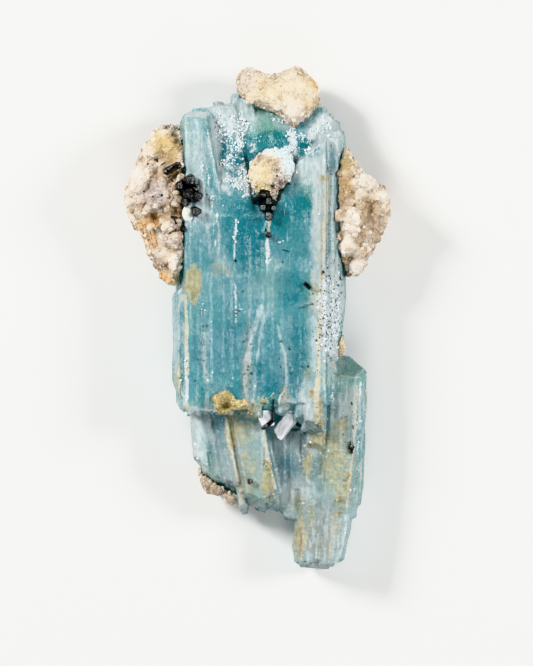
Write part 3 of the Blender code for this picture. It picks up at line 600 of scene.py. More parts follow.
def scatter(name, shape, centres, sizes, turns, tints, rng, slant=0.0, rough=0.0):
    """Thousands of small crystals of one shape in one mesh, all given in millimetres.

    turns are 3x3 matrices, slant leans the tops over and rough makes each one uneven.
    tints are kept as the attribute "tint".
    """
    corners, sides = shape
    count, each = len(centres), len(corners)
    local = corners[None, :, :] * sizes[:, None, :]
    local[:, :, 0] += local[:, :, 2] * rng.uniform(-slant, slant, (count, 1))
    local = local * (1 + rough * rng.uniform(-1, 1, (count, each, 1)))
    spots = np.einsum("nij,nkj->nki", turns, local) + centres[:, None, :]
    spots[:, :, 2] = np.maximum(spots[:, :, 2], LOWEST)
    indices = (sides[None, :, :] + each * np.arange(count)[:, None, None]).reshape(-1, sides.shape[1])
    mesh = bpy.data.meshes.new(name)
    mesh.vertices.add(count * each)
    mesh.vertices.foreach_set("co", spots.ravel() * MM)
    mesh.loops.add(indices.size)
    mesh.loops.foreach_set("vertex_index", indices.ravel())
    mesh.polygons.add(len(indices))
    mesh.polygons.foreach_set("loop_start", np.arange(0, indices.size, sides.shape[1]))
    mesh.update(calc_edges=True)
    store(mesh, "tint", np.repeat(tints, each))
    return placed(name, mesh)


# ---------------------------------------------------------------- shader helpers


class Tree:
    """Short calls for building a node tree."""

    def __init__(self, tree):
        self.nodes = tree.nodes
        self.links = tree.links

    def add(self, kind, **settings):
        node = self.nodes.new(kind)
        for key, value in settings.items():
            setattr(node, key, value)
        return node

    def plug(self, source, target):
        """source is a socket or a constant."""
        if isinstance(source, bpy.types.NodeSocket):
            self.links.new(source, target)
        else:
            target.default_value = source

    def attribute(self, name, output="Fac"):
        return self.add("ShaderNodeAttribute", attribute_name=name).outputs[output]

    def math(self, operation, a, b=0.0, clamp=False):
        node = self.add("ShaderNodeMath", operation=operation, use_clamp=clamp)
        self.plug(a, node.inputs[0])
        self.plug(b, node.inputs[1])
        return node.outputs[0]

    def mix(self, share, a, b):
        node = self.add("ShaderNodeMix", data_type="RGBA")
        self.plug(share, node.inputs["Factor"])
        self.plug(a, node.inputs["A"])
        self.plug(b, node.inputs["B"])
        return node.outputs["Result"]

    def noise(self, vector, scale, detail=3.0, roughness=0.55):
        node = self.add("ShaderNodeTexNoise")
        self.plug(vector, node.inputs["Vector"])
        self.plug(scale, node.inputs["Scale"])
        self.plug(detail, node.inputs["Detail"])
        self.plug(roughness, node.inputs["Roughness"])
        return node.outputs["Fac"]

    def cells(self, vector, scale, feature="F1"):
        node = self.add("ShaderNodeTexVoronoi", feature=feature)
        self.plug(vector, node.inputs["Vector"])
        self.plug(scale, node.inputs["Scale"])
        return node.outputs

    def span(self, value, low, high, to_low=0.0, to_high=1.0):
        node = self.add("ShaderNodeMapRange", clamp=True, interpolation_type="SMOOTHSTEP")
        self.plug(value, node.inputs["Value"])
        for name, number in (
            ("From Min", low), ("From Max", high), ("To Min", to_low), ("To Max", to_high),
        ):
            self.plug(number, node.inputs[name])
        return node.outputs["Result"]

    def stretched(self, vector, scale):
        node = self.add("ShaderNodeMapping")
        self.plug(vector, node.inputs["Vector"])
        node.inputs["Scale"].default_value = scale
        return node.outputs["Vector"]

    def split(self, colour):
        node = self.add("ShaderNodeSeparateColor")
        self.plug(colour, node.inputs["Color"])
        return node.outputs

    def stirred(self, value, *sources, clamp=False):
        """A value moved up and down by each (noise, reach)."""
        for n, (source, reach) in enumerate(sources, 1):
            swing = self.math("MULTIPLY", self.math("SUBTRACT", source, 0.5), reach)
            value = self.math("ADD", value, swing, clamp and n == len(sources))
        return value

    def total(self, *shares):
        """The sum of several (value, weight)."""
        made = 0.0
        for value, weight in shares:
            made = self.math("ADD", made, self.math("MULTIPLY", value, weight))
        return made

    def tones(self, source, low, high, first, last):
        """From the first colour to the last as the source goes from low to high."""
        return self.mix(self.span(source, low, high), first, last)

    def over(self, under, colour, mask, strength=1.0):
        """A colour laid over another one where the mask is."""
        return self.mix(self.math("MULTIPLY", mask, strength, True), under, colour)

    def use(self, group, **values):
        node = self.add("ShaderNodeGroup", node_tree=group)
        for key, value in values.items():
            self.plug(value, node.inputs[key.replace("_", " ")])
        return node.outputs

    def relief(self, shader, height, strength, distance):
        bump = self.add("ShaderNodeBump")
        bump.inputs["Strength"].default_value = strength
        bump.inputs["Distance"].default_value = distance
        self.plug(height, bump.inputs["Height"])
        self.plug(bump.outputs["Normal"], shader.inputs["Normal"])


def new_material(name):
    material = bpy.data.materials.new(name)
    material.use_nodes = True
    tree = Tree(material.node_tree)
    place = tree.add("ShaderNodeTexCoord").outputs["Object"]
    return material, tree, material.node_tree.nodes["Principled BSDF"], place


def sRGB(red, green, blue):
    """A colour as a maker reads it off a chart, 0 to 255, as a shader wants it."""
    def channel(value):
        value /= 255.0
        return value / 12.92 if value <= 0.04045 else ((value + 0.055) / 1.055) ** 2.4
    return (channel(red), channel(green), channel(blue), 1.0)


FLOAT = "NodeSocketFloat"
VECTOR = "NodeSocketVector"


def new_group(name, inputs, outputs):
    """A shader group with named sockets: {name: (kind, default)} in, {name: kind} out."""
    group = bpy.data.node_groups.new(name, "ShaderNodeTree")
    for key, (kind, default) in inputs.items():
        socket = group.interface.new_socket(key, in_out="INPUT", socket_type=kind)
        if default is not None:
            socket.default_value = default
    for key, kind in outputs.items():
        group.interface.new_socket(key, in_out="OUTPUT", socket_type=kind)
    tree = Tree(group)
    return group, tree, tree.add("NodeGroupInput").outputs, tree.add("NodeGroupOutput").inputs


def ragged_edge_group():
    """Gives a soft painted mask the ragged, grainy edge of a natural stain or veil."""
    group, tree, given, out = new_group(
        "ragged edge",
        {
            "Mask": (FLOAT, 0.0),
            "Place": (VECTOR, None),
            "Scale": (FLOAT, 900.0),
            "Raggedness": (FLOAT, 0.6),
            "Softness": (FLOAT, 0.12),
        },
        {"Mask": FLOAT},
    )
    fine = tree.noise(given["Place"], given["Scale"], 4.0, 0.65)
    lift = tree.math("MULTIPLY", tree.math("SUBTRACT", fine, 0.5), given["Raggedness"])
    raised = tree.math("ADD", given["Mask"], lift)
    low = tree.math("SUBTRACT", 0.5, given["Softness"])
    high = tree.math("ADD", 0.5, given["Softness"])
    tree.plug(tree.span(raised, low, high), out["Mask"])
    return group


def fine_grain_group():
    """Sugary grain: colour variation, a height and a sparkle for granular minerals."""
    group, tree, given, out = new_group(
        "sugary grain",
        {"Place": (VECTOR, None), "Grain Scale": (FLOAT, 1400.0)},
        {"Height": FLOAT, "Shade": FLOAT, "Sparkle": FLOAT},
    )
    place, scale = given["Place"], given["Grain Scale"]
    cell = tree.cells(place, scale)
    rough = tree.noise(place, tree.math("MULTIPLY", scale, 1.7), 3.0)
    tree.plug(tree.math("ADD", tree.math("MULTIPLY", cell["Distance"], -0.8), rough), out["Height"])
    tree.plug(tree.noise(place, tree.math("MULTIPLY", scale, 0.35), 4.0), out["Shade"])
    tree.plug(tree.split(cell["Color"])["Red"], out["Sparkle"])
    return group


def speck_group():
    """Scattered round dark specks of uneven size."""
    group, tree, given, out = new_group(
        "specks",
        {"Place": (VECTOR, None), "Scale": (FLOAT, 900.0), "Amount": (FLOAT, 0.0)},
        {"Mask": FLOAT},
    )
    cell = tree.cells(given["Place"], given["Scale"])
    chance = tree.split(cell["Color"])
    chosen = tree.math("LESS_THAN", chance["Red"], tree.math("MULTIPLY", given["Amount"], 0.42))
    size = tree.math("ADD", 0.13, tree.math("MULTIPLY", chance["Green"], 0.22))
    near = tree.span(tree.math("SUBTRACT", size, cell["Distance"]), -0.03, 0.05)
    tree.plug(tree.math("MULTIPLY", chosen, near), out["Mask"])
    return group


RAGGED = ragged_edge_group()
SUGAR = fine_grain_group()
SPECKS = speck_group()


def ragged(tree, mask, place, scale, raggedness, softness):
    made = tree.use(RAGGED, Mask=mask, Place=place, Scale=scale, Raggedness=raggedness, Softness=softness)
    return made["Mask"]


def specked(tree, place, scale, amount):
    return tree.use(SPECKS, Place=place, Scale=scale, Amount=amount)["Mask"]


# ---------------------------------------------------------------- finishes


def aquamarine_finish():
    """See-through blue-green beryl with milky veils, iron stain, cream edges and frost."""
    material, tree, shader, place = new_material("aquamarine")
    along = tree.attribute("along", "Vector")
    # Noise at several sizes, most of it drawn out along the growth direction.
    streak = tree.noise(tree.stretched(along, (1.0, 0.06, 1.0)), 950.0, 5.0, 0.65)
    hair = tree.noise(tree.stretched(along, (1.0, 0.05, 1.0)), 3000.0, 4.0, 0.65)
    brush = tree.noise(tree.stretched(along, (1.0, 0.34, 1.0)), 1500.0, 5.0, 0.72)
    broad = tree.noise(tree.stretched(along, (1.0, 0.25, 1.0)), 230.0, 4.0, 0.6)
    mottle = tree.noise(place, 1100.0, 6.0, 0.74)
    lace = tree.noise(tree.stretched(along, (1.0, 0.6, 1.0)), 2700.0, 3.0, 0.6)
    cloud = tree.noise(place, 300.0, 4.0, 0.6)
    # Body colour by depth of tone.
    sway = [(broad, 0.6), (brush, 0.7), (cloud, 0.7), (mottle, 0.5), (streak, 0.3)]
    deep = tree.stirred(tree.attribute("deep"), *sway, clamp=True)
    body = tree.tones(deep, 0.0, 0.42, sRGB(166, 198, 200), sRGB(92, 162, 170))
    body = tree.tones(deep, 0.36, 1.0, body, sRGB(4, 133, 144))
    bluer = tree.span(tree.noise(tree.stretched(along, (1.0, 0.45, 1.0)), 170.0, 3.0, 0.6), 0.42, 0.62)
    body = tree.over(body, tree.mix(deep, sRGB(150, 182, 198), sRGB(16, 112, 138)), bluer, 0.32)
    green = tree.tones(deep, 0.1, 0.9, sRGB(152, 196, 178), sRGB(24, 132, 116))
    body = tree.over(body, green, tree.attribute("green"), 0.85)
    grey = tree.tones(deep, 0.1, 0.8, sRGB(182, 184, 182), sRGB(100, 136, 146))
    body = tree.over(body, grey, tree.attribute("grey"))
    body = tree.mix(tree.span(hair, 0.58, 0.8, 0.0, 0.3), body, sRGB(20, 104, 118))
    # Tiny pale flecks and darker freckles all through.
    patchy = tree.span(cloud, 0.35, 0.65, 0.25, 0.75)
    flecks = tree.math("MULTIPLY", tree.span(lace, 0.55, 0.68), patchy)
    body = tree.over(body, sRGB(200, 218, 224), flecks, 0.62)
    body = tree.mix(tree.span(lace, 0.32, 0.45, 0.34, 0.0), body, sRGB(12, 92, 108))
    # Milky veils and healed cracks.
    milk = tree.stirred(tree.attribute("milk"), (streak, 0.55), (brush, 0.7), (mottle, 0.6))
    milk = tree.math("SUBTRACT", milk, tree.math("MULTIPLY", deep, 0.25))
    veil = tree.span(milk, 0.16, 0.95)
    milk_colour = tree.tones(brush, 0.3, 0.7, sRGB(172, 198, 200), sRGB(242, 244, 243))
    body = tree.over(body, milk_colour, veil, 0.92)
    cracks = tree.cells(tree.stretched(along, (1.0, 0.3, 1.0)), 260.0, "DISTANCE_TO_EDGE")["Distance"]
    cracked = tree.math("MULTIPLY", tree.span(cracks, 0.0, 0.02, 1.0, 0.0), tree.span(broad, 0.5, 0.62))
    body = tree.over(body, sRGB(206, 220, 222), cracked, 0.25)
    # Iron stain, cream edges, rust.
    khaki = tree.attribute("yellow")
    body = tree.over(body, sRGB(178, 176, 150), khaki, 0.4)
    yellow = ragged(tree, tree.stirred(khaki, (brush, 0.6)), place, 1300.0, 1.9, 0.16)
    yellow_colour = tree.tones(mottle, 0.3, 0.7, sRGB(142, 128, 66), sRGB(232, 222, 172))
    body = tree.over(body, yellow_colour, yellow, 0.78)
    cream = ragged(tree, tree.attribute("cream"), place, 1400.0, 1.5, 0.2)
    cream_colour = tree.tones(mottle, 0.3, 0.7, sRGB(206, 184, 134), sRGB(250, 245, 228))
    body = tree.over(body, cream_colour, cream, 0.92)
    rust = ragged(tree, tree.attribute("rust"), place, 1500.0, 1.6, 0.14)
    body = tree.over(body, sRGB(172, 118, 48), rust, 0.85)
    # Edges whitened: worn edges with a painted highlight along the rims; snowy frost and dark specks.
    edge = ragged(tree, tree.attribute("edge"), place, 1300.0, 0.9, 0.25)
    body = tree.over(body, sRGB(230, 236, 234), edge, 0.7)
    frost = ragged(tree, tree.attribute("frost"), place, 1100.0, 1.7, 0.07)
    body = tree.over(body, sRGB(238, 241, 243), frost, 0.9)
    amount = tree.attribute("speck")
    specks = specked(tree, place, 1250.0, amount)
    fine_specks = specked(tree, place, 2300.0, tree.math("MULTIPLY", amount, 0.7))
    body = tree.mix(tree.math("MAXIMUM", specks, fine_specks), body, sRGB(30, 27, 28))
    tree.plug(body, shader.inputs["Base Color"])
    # Gloss: clear faces shine, veils and frost are dull.
    mat = tree.span(mottle, 0.35, 0.65, 0.0, 0.16)
    dull = tree.total((veil, 0.2), (mat, 1.0), (frost, 0.4), (cream, 0.25), (yellow, 0.25))
    tree.plug(tree.math("ADD", 0.15, dull, True), shader.inputs["Roughness"])
    # Relief: growth striations, etch pits, frost standing proud.
    pits = tree.span(tree.cells(tree.stretched(place, (1.0, 0.4, 1.0)), 900.0)["Distance"], 0.0, 0.45)
    height = tree.total((hair, 0.4), (streak, 0.7), (brush, 0.9), (pits, 0.25), (frost, 0.5), (mottle, 0.5))
    tree.relief(shader, height, 0.45, 0.0004)
    shader.inputs["IOR"].default_value = 1.577
    shader.inputs["Transmission Weight"].default_value = 0.52
    absorb = tree.add("ShaderNodeVolumeAbsorption")
    absorb.inputs["Color"].default_value = (0.30, 0.80, 0.82, 1.0)
    absorb.inputs["Density"].default_value = 36.0
    tree.plug(absorb.outputs["Volume"], material.node_tree.nodes["Material Output"].inputs["Volume"])
    return material


def feldspar_finish():
    """Sugary feldspar, each grain of its own tone, browner in the recesses with brown earth and painted
    shade.
    """
    material, tree, shader, place = new_material("feldspar")
    sugar = tree.use(SUGAR, Place=place, Grain_Scale=1900.0)
    blotch = tree.noise(place, 330.0, 4.0, 0.62)
    crumb = tree.noise(place, 1500.0, 4.0, 0.7)
    # Each grain has its own tone, from beige to near white.
    pale = tree.stirred(tree.attribute("tint"), (blotch, 1.3), (crumb, 1.0))
    base = tree.tones(pale, 0.0, 1.0, sRGB(140, 118, 92), sRGB(234, 222, 204))
    white = tree.tones(pale, 0.0, 0.9, sRGB(188, 174, 158), sRGB(242, 234, 224))
    # The white mask holds white grains and, on raised lumps, a painted highlight.
    base = tree.over(base, white, tree.attribute("white"), 0.8)
    warm = tree.tones(pale, 0.1, 0.9, sRGB(186, 160, 104), sRGB(240, 226, 188))
    base = tree.over(base, warm, tree.attribute("warm"), 0.85)
    dusk = tree.tones(crumb, 0.35, 0.65, sRGB(122, 112, 108), sRGB(200, 188, 182))
    base = tree.over(base, dusk, tree.attribute("grey"), 0.85)
    rust = ragged(tree, tree.attribute("rust"), place, 800.0, 1.2, 0.25)
    rust_colour = tree.tones(crumb, 0.35, 0.65, sRGB(184, 128, 70), sRGB(236, 200, 150))
    base = tree.over(base, rust_colour, rust, 0.85)
    # Brown in the recesses and between the grains: partly brown earth, partly painted shade where the surface
    # sinks.
    earth_and_shade = tree.stirred(tree.attribute("earth_and_shade"), (blotch, 0.9), (crumb, 1.9))
    brown = tree.tones(sugar["Shade"], 0.3, 0.7, sRGB(112, 86, 56), sRGB(186, 158, 122))
    base = tree.over(base, brown, tree.span(earth_and_shade, 0.15, 1.15), 0.8)
    icy = tree.tones(crumb, 0.3, 0.7, sRGB(176, 206, 208), sRGB(238, 246, 245))
    base = tree.over(base, icy, tree.attribute("halo"), 0.85)
    base = tree.mix(specked(tree, place, 1000.0, tree.attribute("speck")), base, sRGB(28, 25, 26))
    tree.plug(base, shader.inputs["Base Color"])
    tree.plug(tree.span(sugar["Sparkle"], 0.0, 1.0, 0.35, 0.8), shader.inputs["Roughness"])
    tree.relief(shader, sugar["Height"], 0.7, 0.0004)
    shader.inputs["IOR"].default_value = 1.53
    shader.inputs["Subsurface Weight"].default_value = 0.2
    shader.inputs["Subsurface Radius"].default_value = (1.0, 0.85, 0.7)
    shader.inputs["Subsurface Scale"].default_value = 0.0008
    return material


def frost_finish():
    """Snowy plates, each a little whiter or bluer than the next."""
    material, tree, shader, place = new_material("frost_grains")
    speckle = tree.noise(place, 2200.0, 2.0)
    white = tree.mix(tree.attribute("tint"), sRGB(212, 226, 230), sRGB(248, 250, 250))
    tree.plug(tree.over(white, sRGB(196, 212, 216), speckle, 0.3), shader.inputs["Base Color"])
    tree.plug(tree.span(speckle, 0.3, 0.7, 0.3, 0.55), shader.inputs["Roughness"])
    return material


def crust_finish():
    """Dull, crumbly iron crust from olive to straw."""
    material, tree, shader, place = new_material("iron_crust")
    sugar = tree.use(SUGAR, Place=place, Grain_Scale=1900.0)
    tint = tree.attribute("tint")
    base = tree.mix(sugar["Shade"], sRGB(134, 116, 74), sRGB(194, 176, 126))
    base = tree.mix(tree.span(tint, 0.5, 1.0, 0.0, 0.8), base, sRGB(240, 230, 196))
    base = tree.mix(tree.span(tint, 0.0, 0.35, 0.85, 0.0), base, sRGB(124, 122, 84))
    tree.plug(base, shader.inputs["Base Color"])
    tree.plug(tree.span(sugar["Sparkle"], 0.0, 1.0, 0.7, 0.95), shader.inputs["Roughness"])
    tree.relief(shader, sugar["Height"], 0.5, 0.0003)
    shader.inputs["Specular IOR Level"].default_value = 0.2
    return material


def schorl_finish():
    """Glossy black, finely ribbed along the prism and a little worn."""
    material, tree, shader, place = new_material("schorl")
    along = tree.attribute("along", "Vector")
    ribs = tree.noise(tree.stretched(along, (1.0, 1.0, 0.03)), 3200.0, 3.0)
    worn = tree.noise(place, 1500.0, 4.0)
    base = tree.tones(worn, 0.55, 0.75, sRGB(8, 7, 9), sRGB(38, 34, 33))
    tree.plug(base, shader.inputs["Base Color"])
    tree.plug(tree.span(worn, 0.4, 0.75, 0.1, 0.45), shader.inputs["Roughness"])
    tree.relief(shader, tree.math("ADD", ribs, worn), 0.8, 0.0002)
    shader.inputs["IOR"].default_value = 1.6
    return material


def blade_finish():
    """White plates with a silky lengthwise grain."""
    material, tree, shader, place = new_material("white_blade")
    along = tree.attribute("along", "Vector")
    plates = tree.noise(tree.stretched(along, (1.0, 0.08, 1.0)), 2200.0, 3.0)
    cloud = tree.noise(place, 500.0, 3.0)
    base = tree.mix(plates, sRGB(226, 228, 232), sRGB(255, 255, 255))
    base = tree.mix(tree.span(cloud, 0.55, 0.8, 0.0, 0.4), base, sRGB(196, 196, 198))
    tree.plug(base, shader.inputs["Base Color"])
    tree.plug(tree.span(plates, 0.2, 0.8, 0.22, 0.5), shader.inputs["Roughness"])
    tree.relief(shader, plates, 0.5, 0.0002)
    return material


def quartz_finish():
    """Cloudy, pale grey-white quartz."""
    material, tree, shader, place = new_material("quartz")
    cloud = tree.noise(place, 900.0, 4.0)
    base = tree.tones(cloud, 0.3, 0.7, sRGB(196, 204, 196), sRGB(242, 243, 236))
    tree.plug(base, shader.inputs["Base Color"])
    tree.plug(tree.span(cloud, 0.3, 0.7, 0.16, 0.4), shader.inputs["Roughness"])
    return material


# ---------------------------------------------------------------- the beryl


def growth_lean(points):
    """How far the growth direction leans at each point: x gained for each unit down."""
    x, y = points[:, 0], points[:, 1]
    crest = np.interp(-y, [20.0, 26.0, 32.0, 39.0], [0.4, 1.9, 3.0, 4.6])
    in_bundle = ease(-19.0, -21.0, y) * ease(0.8, -0.2, x - crest)
    in_side = ease(-9.0, -12.0, y) * ease(-0.2, 0.8, x - crest) * ease(4.0, 9.0, x)
    return in_bundle * BUNDLE_LEAN + in_side * SIDE_LEAN


def growth_frame(points):
    """Coordinates that follow the growth direction: across, along, through."""
    lean = growth_lean(points)
    across = points[:, 0] + lean * (points[:, 1] + 20.0)
    return np.stack([across, points[:, 1], points[:, 2]], axis=1)


def beryl_relief(points, normals, side_face, front_face):
    """How far the skin stands out: striations along the sides, splinters at the broken ends."""
    growth = growth_frame(points)
    # Growth striations: low ridges that run along the crystals, faint on the broad front.
    across = growth * np.array([1.0, 0.03, 1.0])
    ridges = 0.65 * soft_noise(across * 0.5, 1) + 0.35 * soft_noise(across * 1.3, 2)
    rise = (soft_noise(across * np.array([0.4, 1.6, 0.4]), 3) + 1) * 3.0
    steps = (np.floor(rise) + ease(0.3, 0.7, rise - np.floor(rise))) / 3.0 - 1
    relief = side_face * (0.2 * ridges + 0.14 * steps) * (1 - 0.6 * front_face)
    # Etched, uneven skin.
    relief += (0.08 * layered_noise(points * 1.1, 4) + 0.16 * soft_noise(points * 0.3, 7)) * side_face
    # Ends: broken and frosted, with splintered columns; the side crystal's end is smooth.
    side_end = ease(15.0, 16.0, points[:, 0])
    side_end *= ease(-14.5, -13.5, points[:, 1]) * ease(-6.5, -7.5, points[:, 1])
    splinters = soft_noise(growth * np.array([0.9, 0.1, 0.9]), 5)
    splinters += 0.6 * soft_noise(growth * np.array([2.1, 0.3, 2.1]), 6)
    broken = (1 - side_face) * (1 - 0.75 * ease(15.0, 30.0, points[:, 1])) * (1 - 0.9 * side_end)
    relief += broken * (0.5 * splinters - 0.25)
    # The front's lower edge is ragged.
    lower_edge = ease(-0.4, -0.7, normals[:, 1])
    lower_edge *= ease(12.0, 14.0, points[:, 2]) * ease(-26.0, -24.0, points[:, 1])
    relief += lower_edge * (0.7 * soft_noise(points * np.array([0.8, 0.0, 0.25]), 15) + 0.2)
    return relief


def beryl_tones(points, normals, end_face):
    """The strength of each tone at each point; the hidden sides have broad quiet bands."""
    front = ease(-0.1, 0.35, normals[:, 2]) * ease(1.0, 5.0, points[:, 2])
    hidden = 1 - front
    head = end_face * ease(20.0, 35.0, points[:, 1]) * ease(0.0, 0.4, normals[:, 1])
    across = growth_frame(points) * np.array([0.5, 0.045, 0.5])
    veil_bands = ease(0.1, 0.75, soft_noise(across, 31))
    depths = 0.45 + 0.4 * layered_noise(points * np.array([0.12, 0.05, 0.12]), 32)
    greenish = 0.3 * ease(0.0, 0.6, soft_noise(points * 0.1, 33))
    stain = 0.6 * ease(0.35, 0.7, layered_noise(points * np.array([0.25, 0.08, 0.25]), 34))
    milk = np.maximum(streaks(points, MILKY_STREAKS, 40), patches(points, MILKY_PATCHES, 41))
    block = patches(points, BLOCK_MILK_PATCHES, 49) * ease(16.0, 18.2, points[:, 2])
    milk = np.maximum(milk, block)
    deep = 0.34 * ease(-24, -16, points[:, 1])
    deep = np.maximum(deep, patches(points, DEEP_PATCHES, 42))
    return {
        "milk": np.maximum(front * milk + hidden * 0.6 * veil_bands, 0.8 * head),
        "deep": (front * deep + hidden * depths) * (1 - 0.8 * head),
        "green": front * patches(points, GREEN_PATCHES, 43) + hidden * greenish,
        "grey": front * patches(points, GREY_PATCHES, 44) + hidden * 0.25,
        "yellow": front * patches(points, YELLOW_PATCHES, 45) + hidden * stain,
        "cream": front * streaks(points, CREAM_STREAKS, 46),
        "rust": front * patches(points, RUST_PATCHES, 47),
        "speck": front * patches(points, SPECK_PATCHES, 48) + hidden * 0.1,
    }


def make_beryl():
    """The grown-together crystals; gives back the piece, its first points, normals and frost."""
    beryl = dense_copy("beryl_crystals", "beryl_crystals_faces", BERYL_GRID, hug=1.0)
    mesh = beryl.data
    points = read_points(mesh) / MM
    normals = read_normals(mesh)
    side_face = 1 - ease(0.45, 0.8, np.abs(normals[:, 1]))
    end_face = 1 - side_face
    resting = ease(1.2, 0.4, points[:, 2])
    front_face = ease(17.6, 18.2, points[:, 2])
    front_face *= ease(-19.0, -17.0, points[:, 1]) * ease(12.4, 11.0, points[:, 0])
    relief = beryl_relief(points, normals, side_face, front_face)
    # Edges are knocked back unevenly.
    edge = ease(0.03, 0.16, standing_out(points, normals, *neighbours(mesh), 5))
    relief -= edge * (0.12 + 0.25 * np.maximum(0, layered_noise(points * 0.8, 11, 3)))
    # Frost patches stand up a little.
    frost = patches(points, FROST_PATCHES, 12)
    frost = np.maximum(frost, streaks(points, WHITE_STREAKS, 13)) * ease(0.1, 0.5, normals[:, 2])
    relief += 0.12 * frost * layered_noise(points * 1.6, 8, 2)
    relief *= 1 - resting
    moved = points + normals * relief[:, None]
    moved[:, 2] = np.maximum(moved[:, 2], 0.0)
    write_points(mesh, moved * MM)
    mesh.shade_smooth()
    for name, values in beryl_tones(points, normals, end_face).items():
        store(mesh, name, values)
    # The edge mask whitens the rims in the finish: worn edges with a painted highlight.
    quiet = 0.85 * front_face * ease(26.0, 22.0, points[:, 1])
    store(mesh, "edge", edge * (0.75 - 0.4 * resting) * (1 - quiet))
    store(mesh, "frost", np.maximum(frost * 0.95, 0.45 * end_face * ease(25.0, 30.0, points[:, 1])))
    store_vector(mesh, "along", growth_frame(points) * MM)
    mesh.materials.clear()
    mesh.materials.append(aquamarine_finish())
    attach(beryl, "root")
    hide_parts("beryl_crystals")
    return beryl, points, normals, frost


# ---------------------------------------------------------------- feldspar


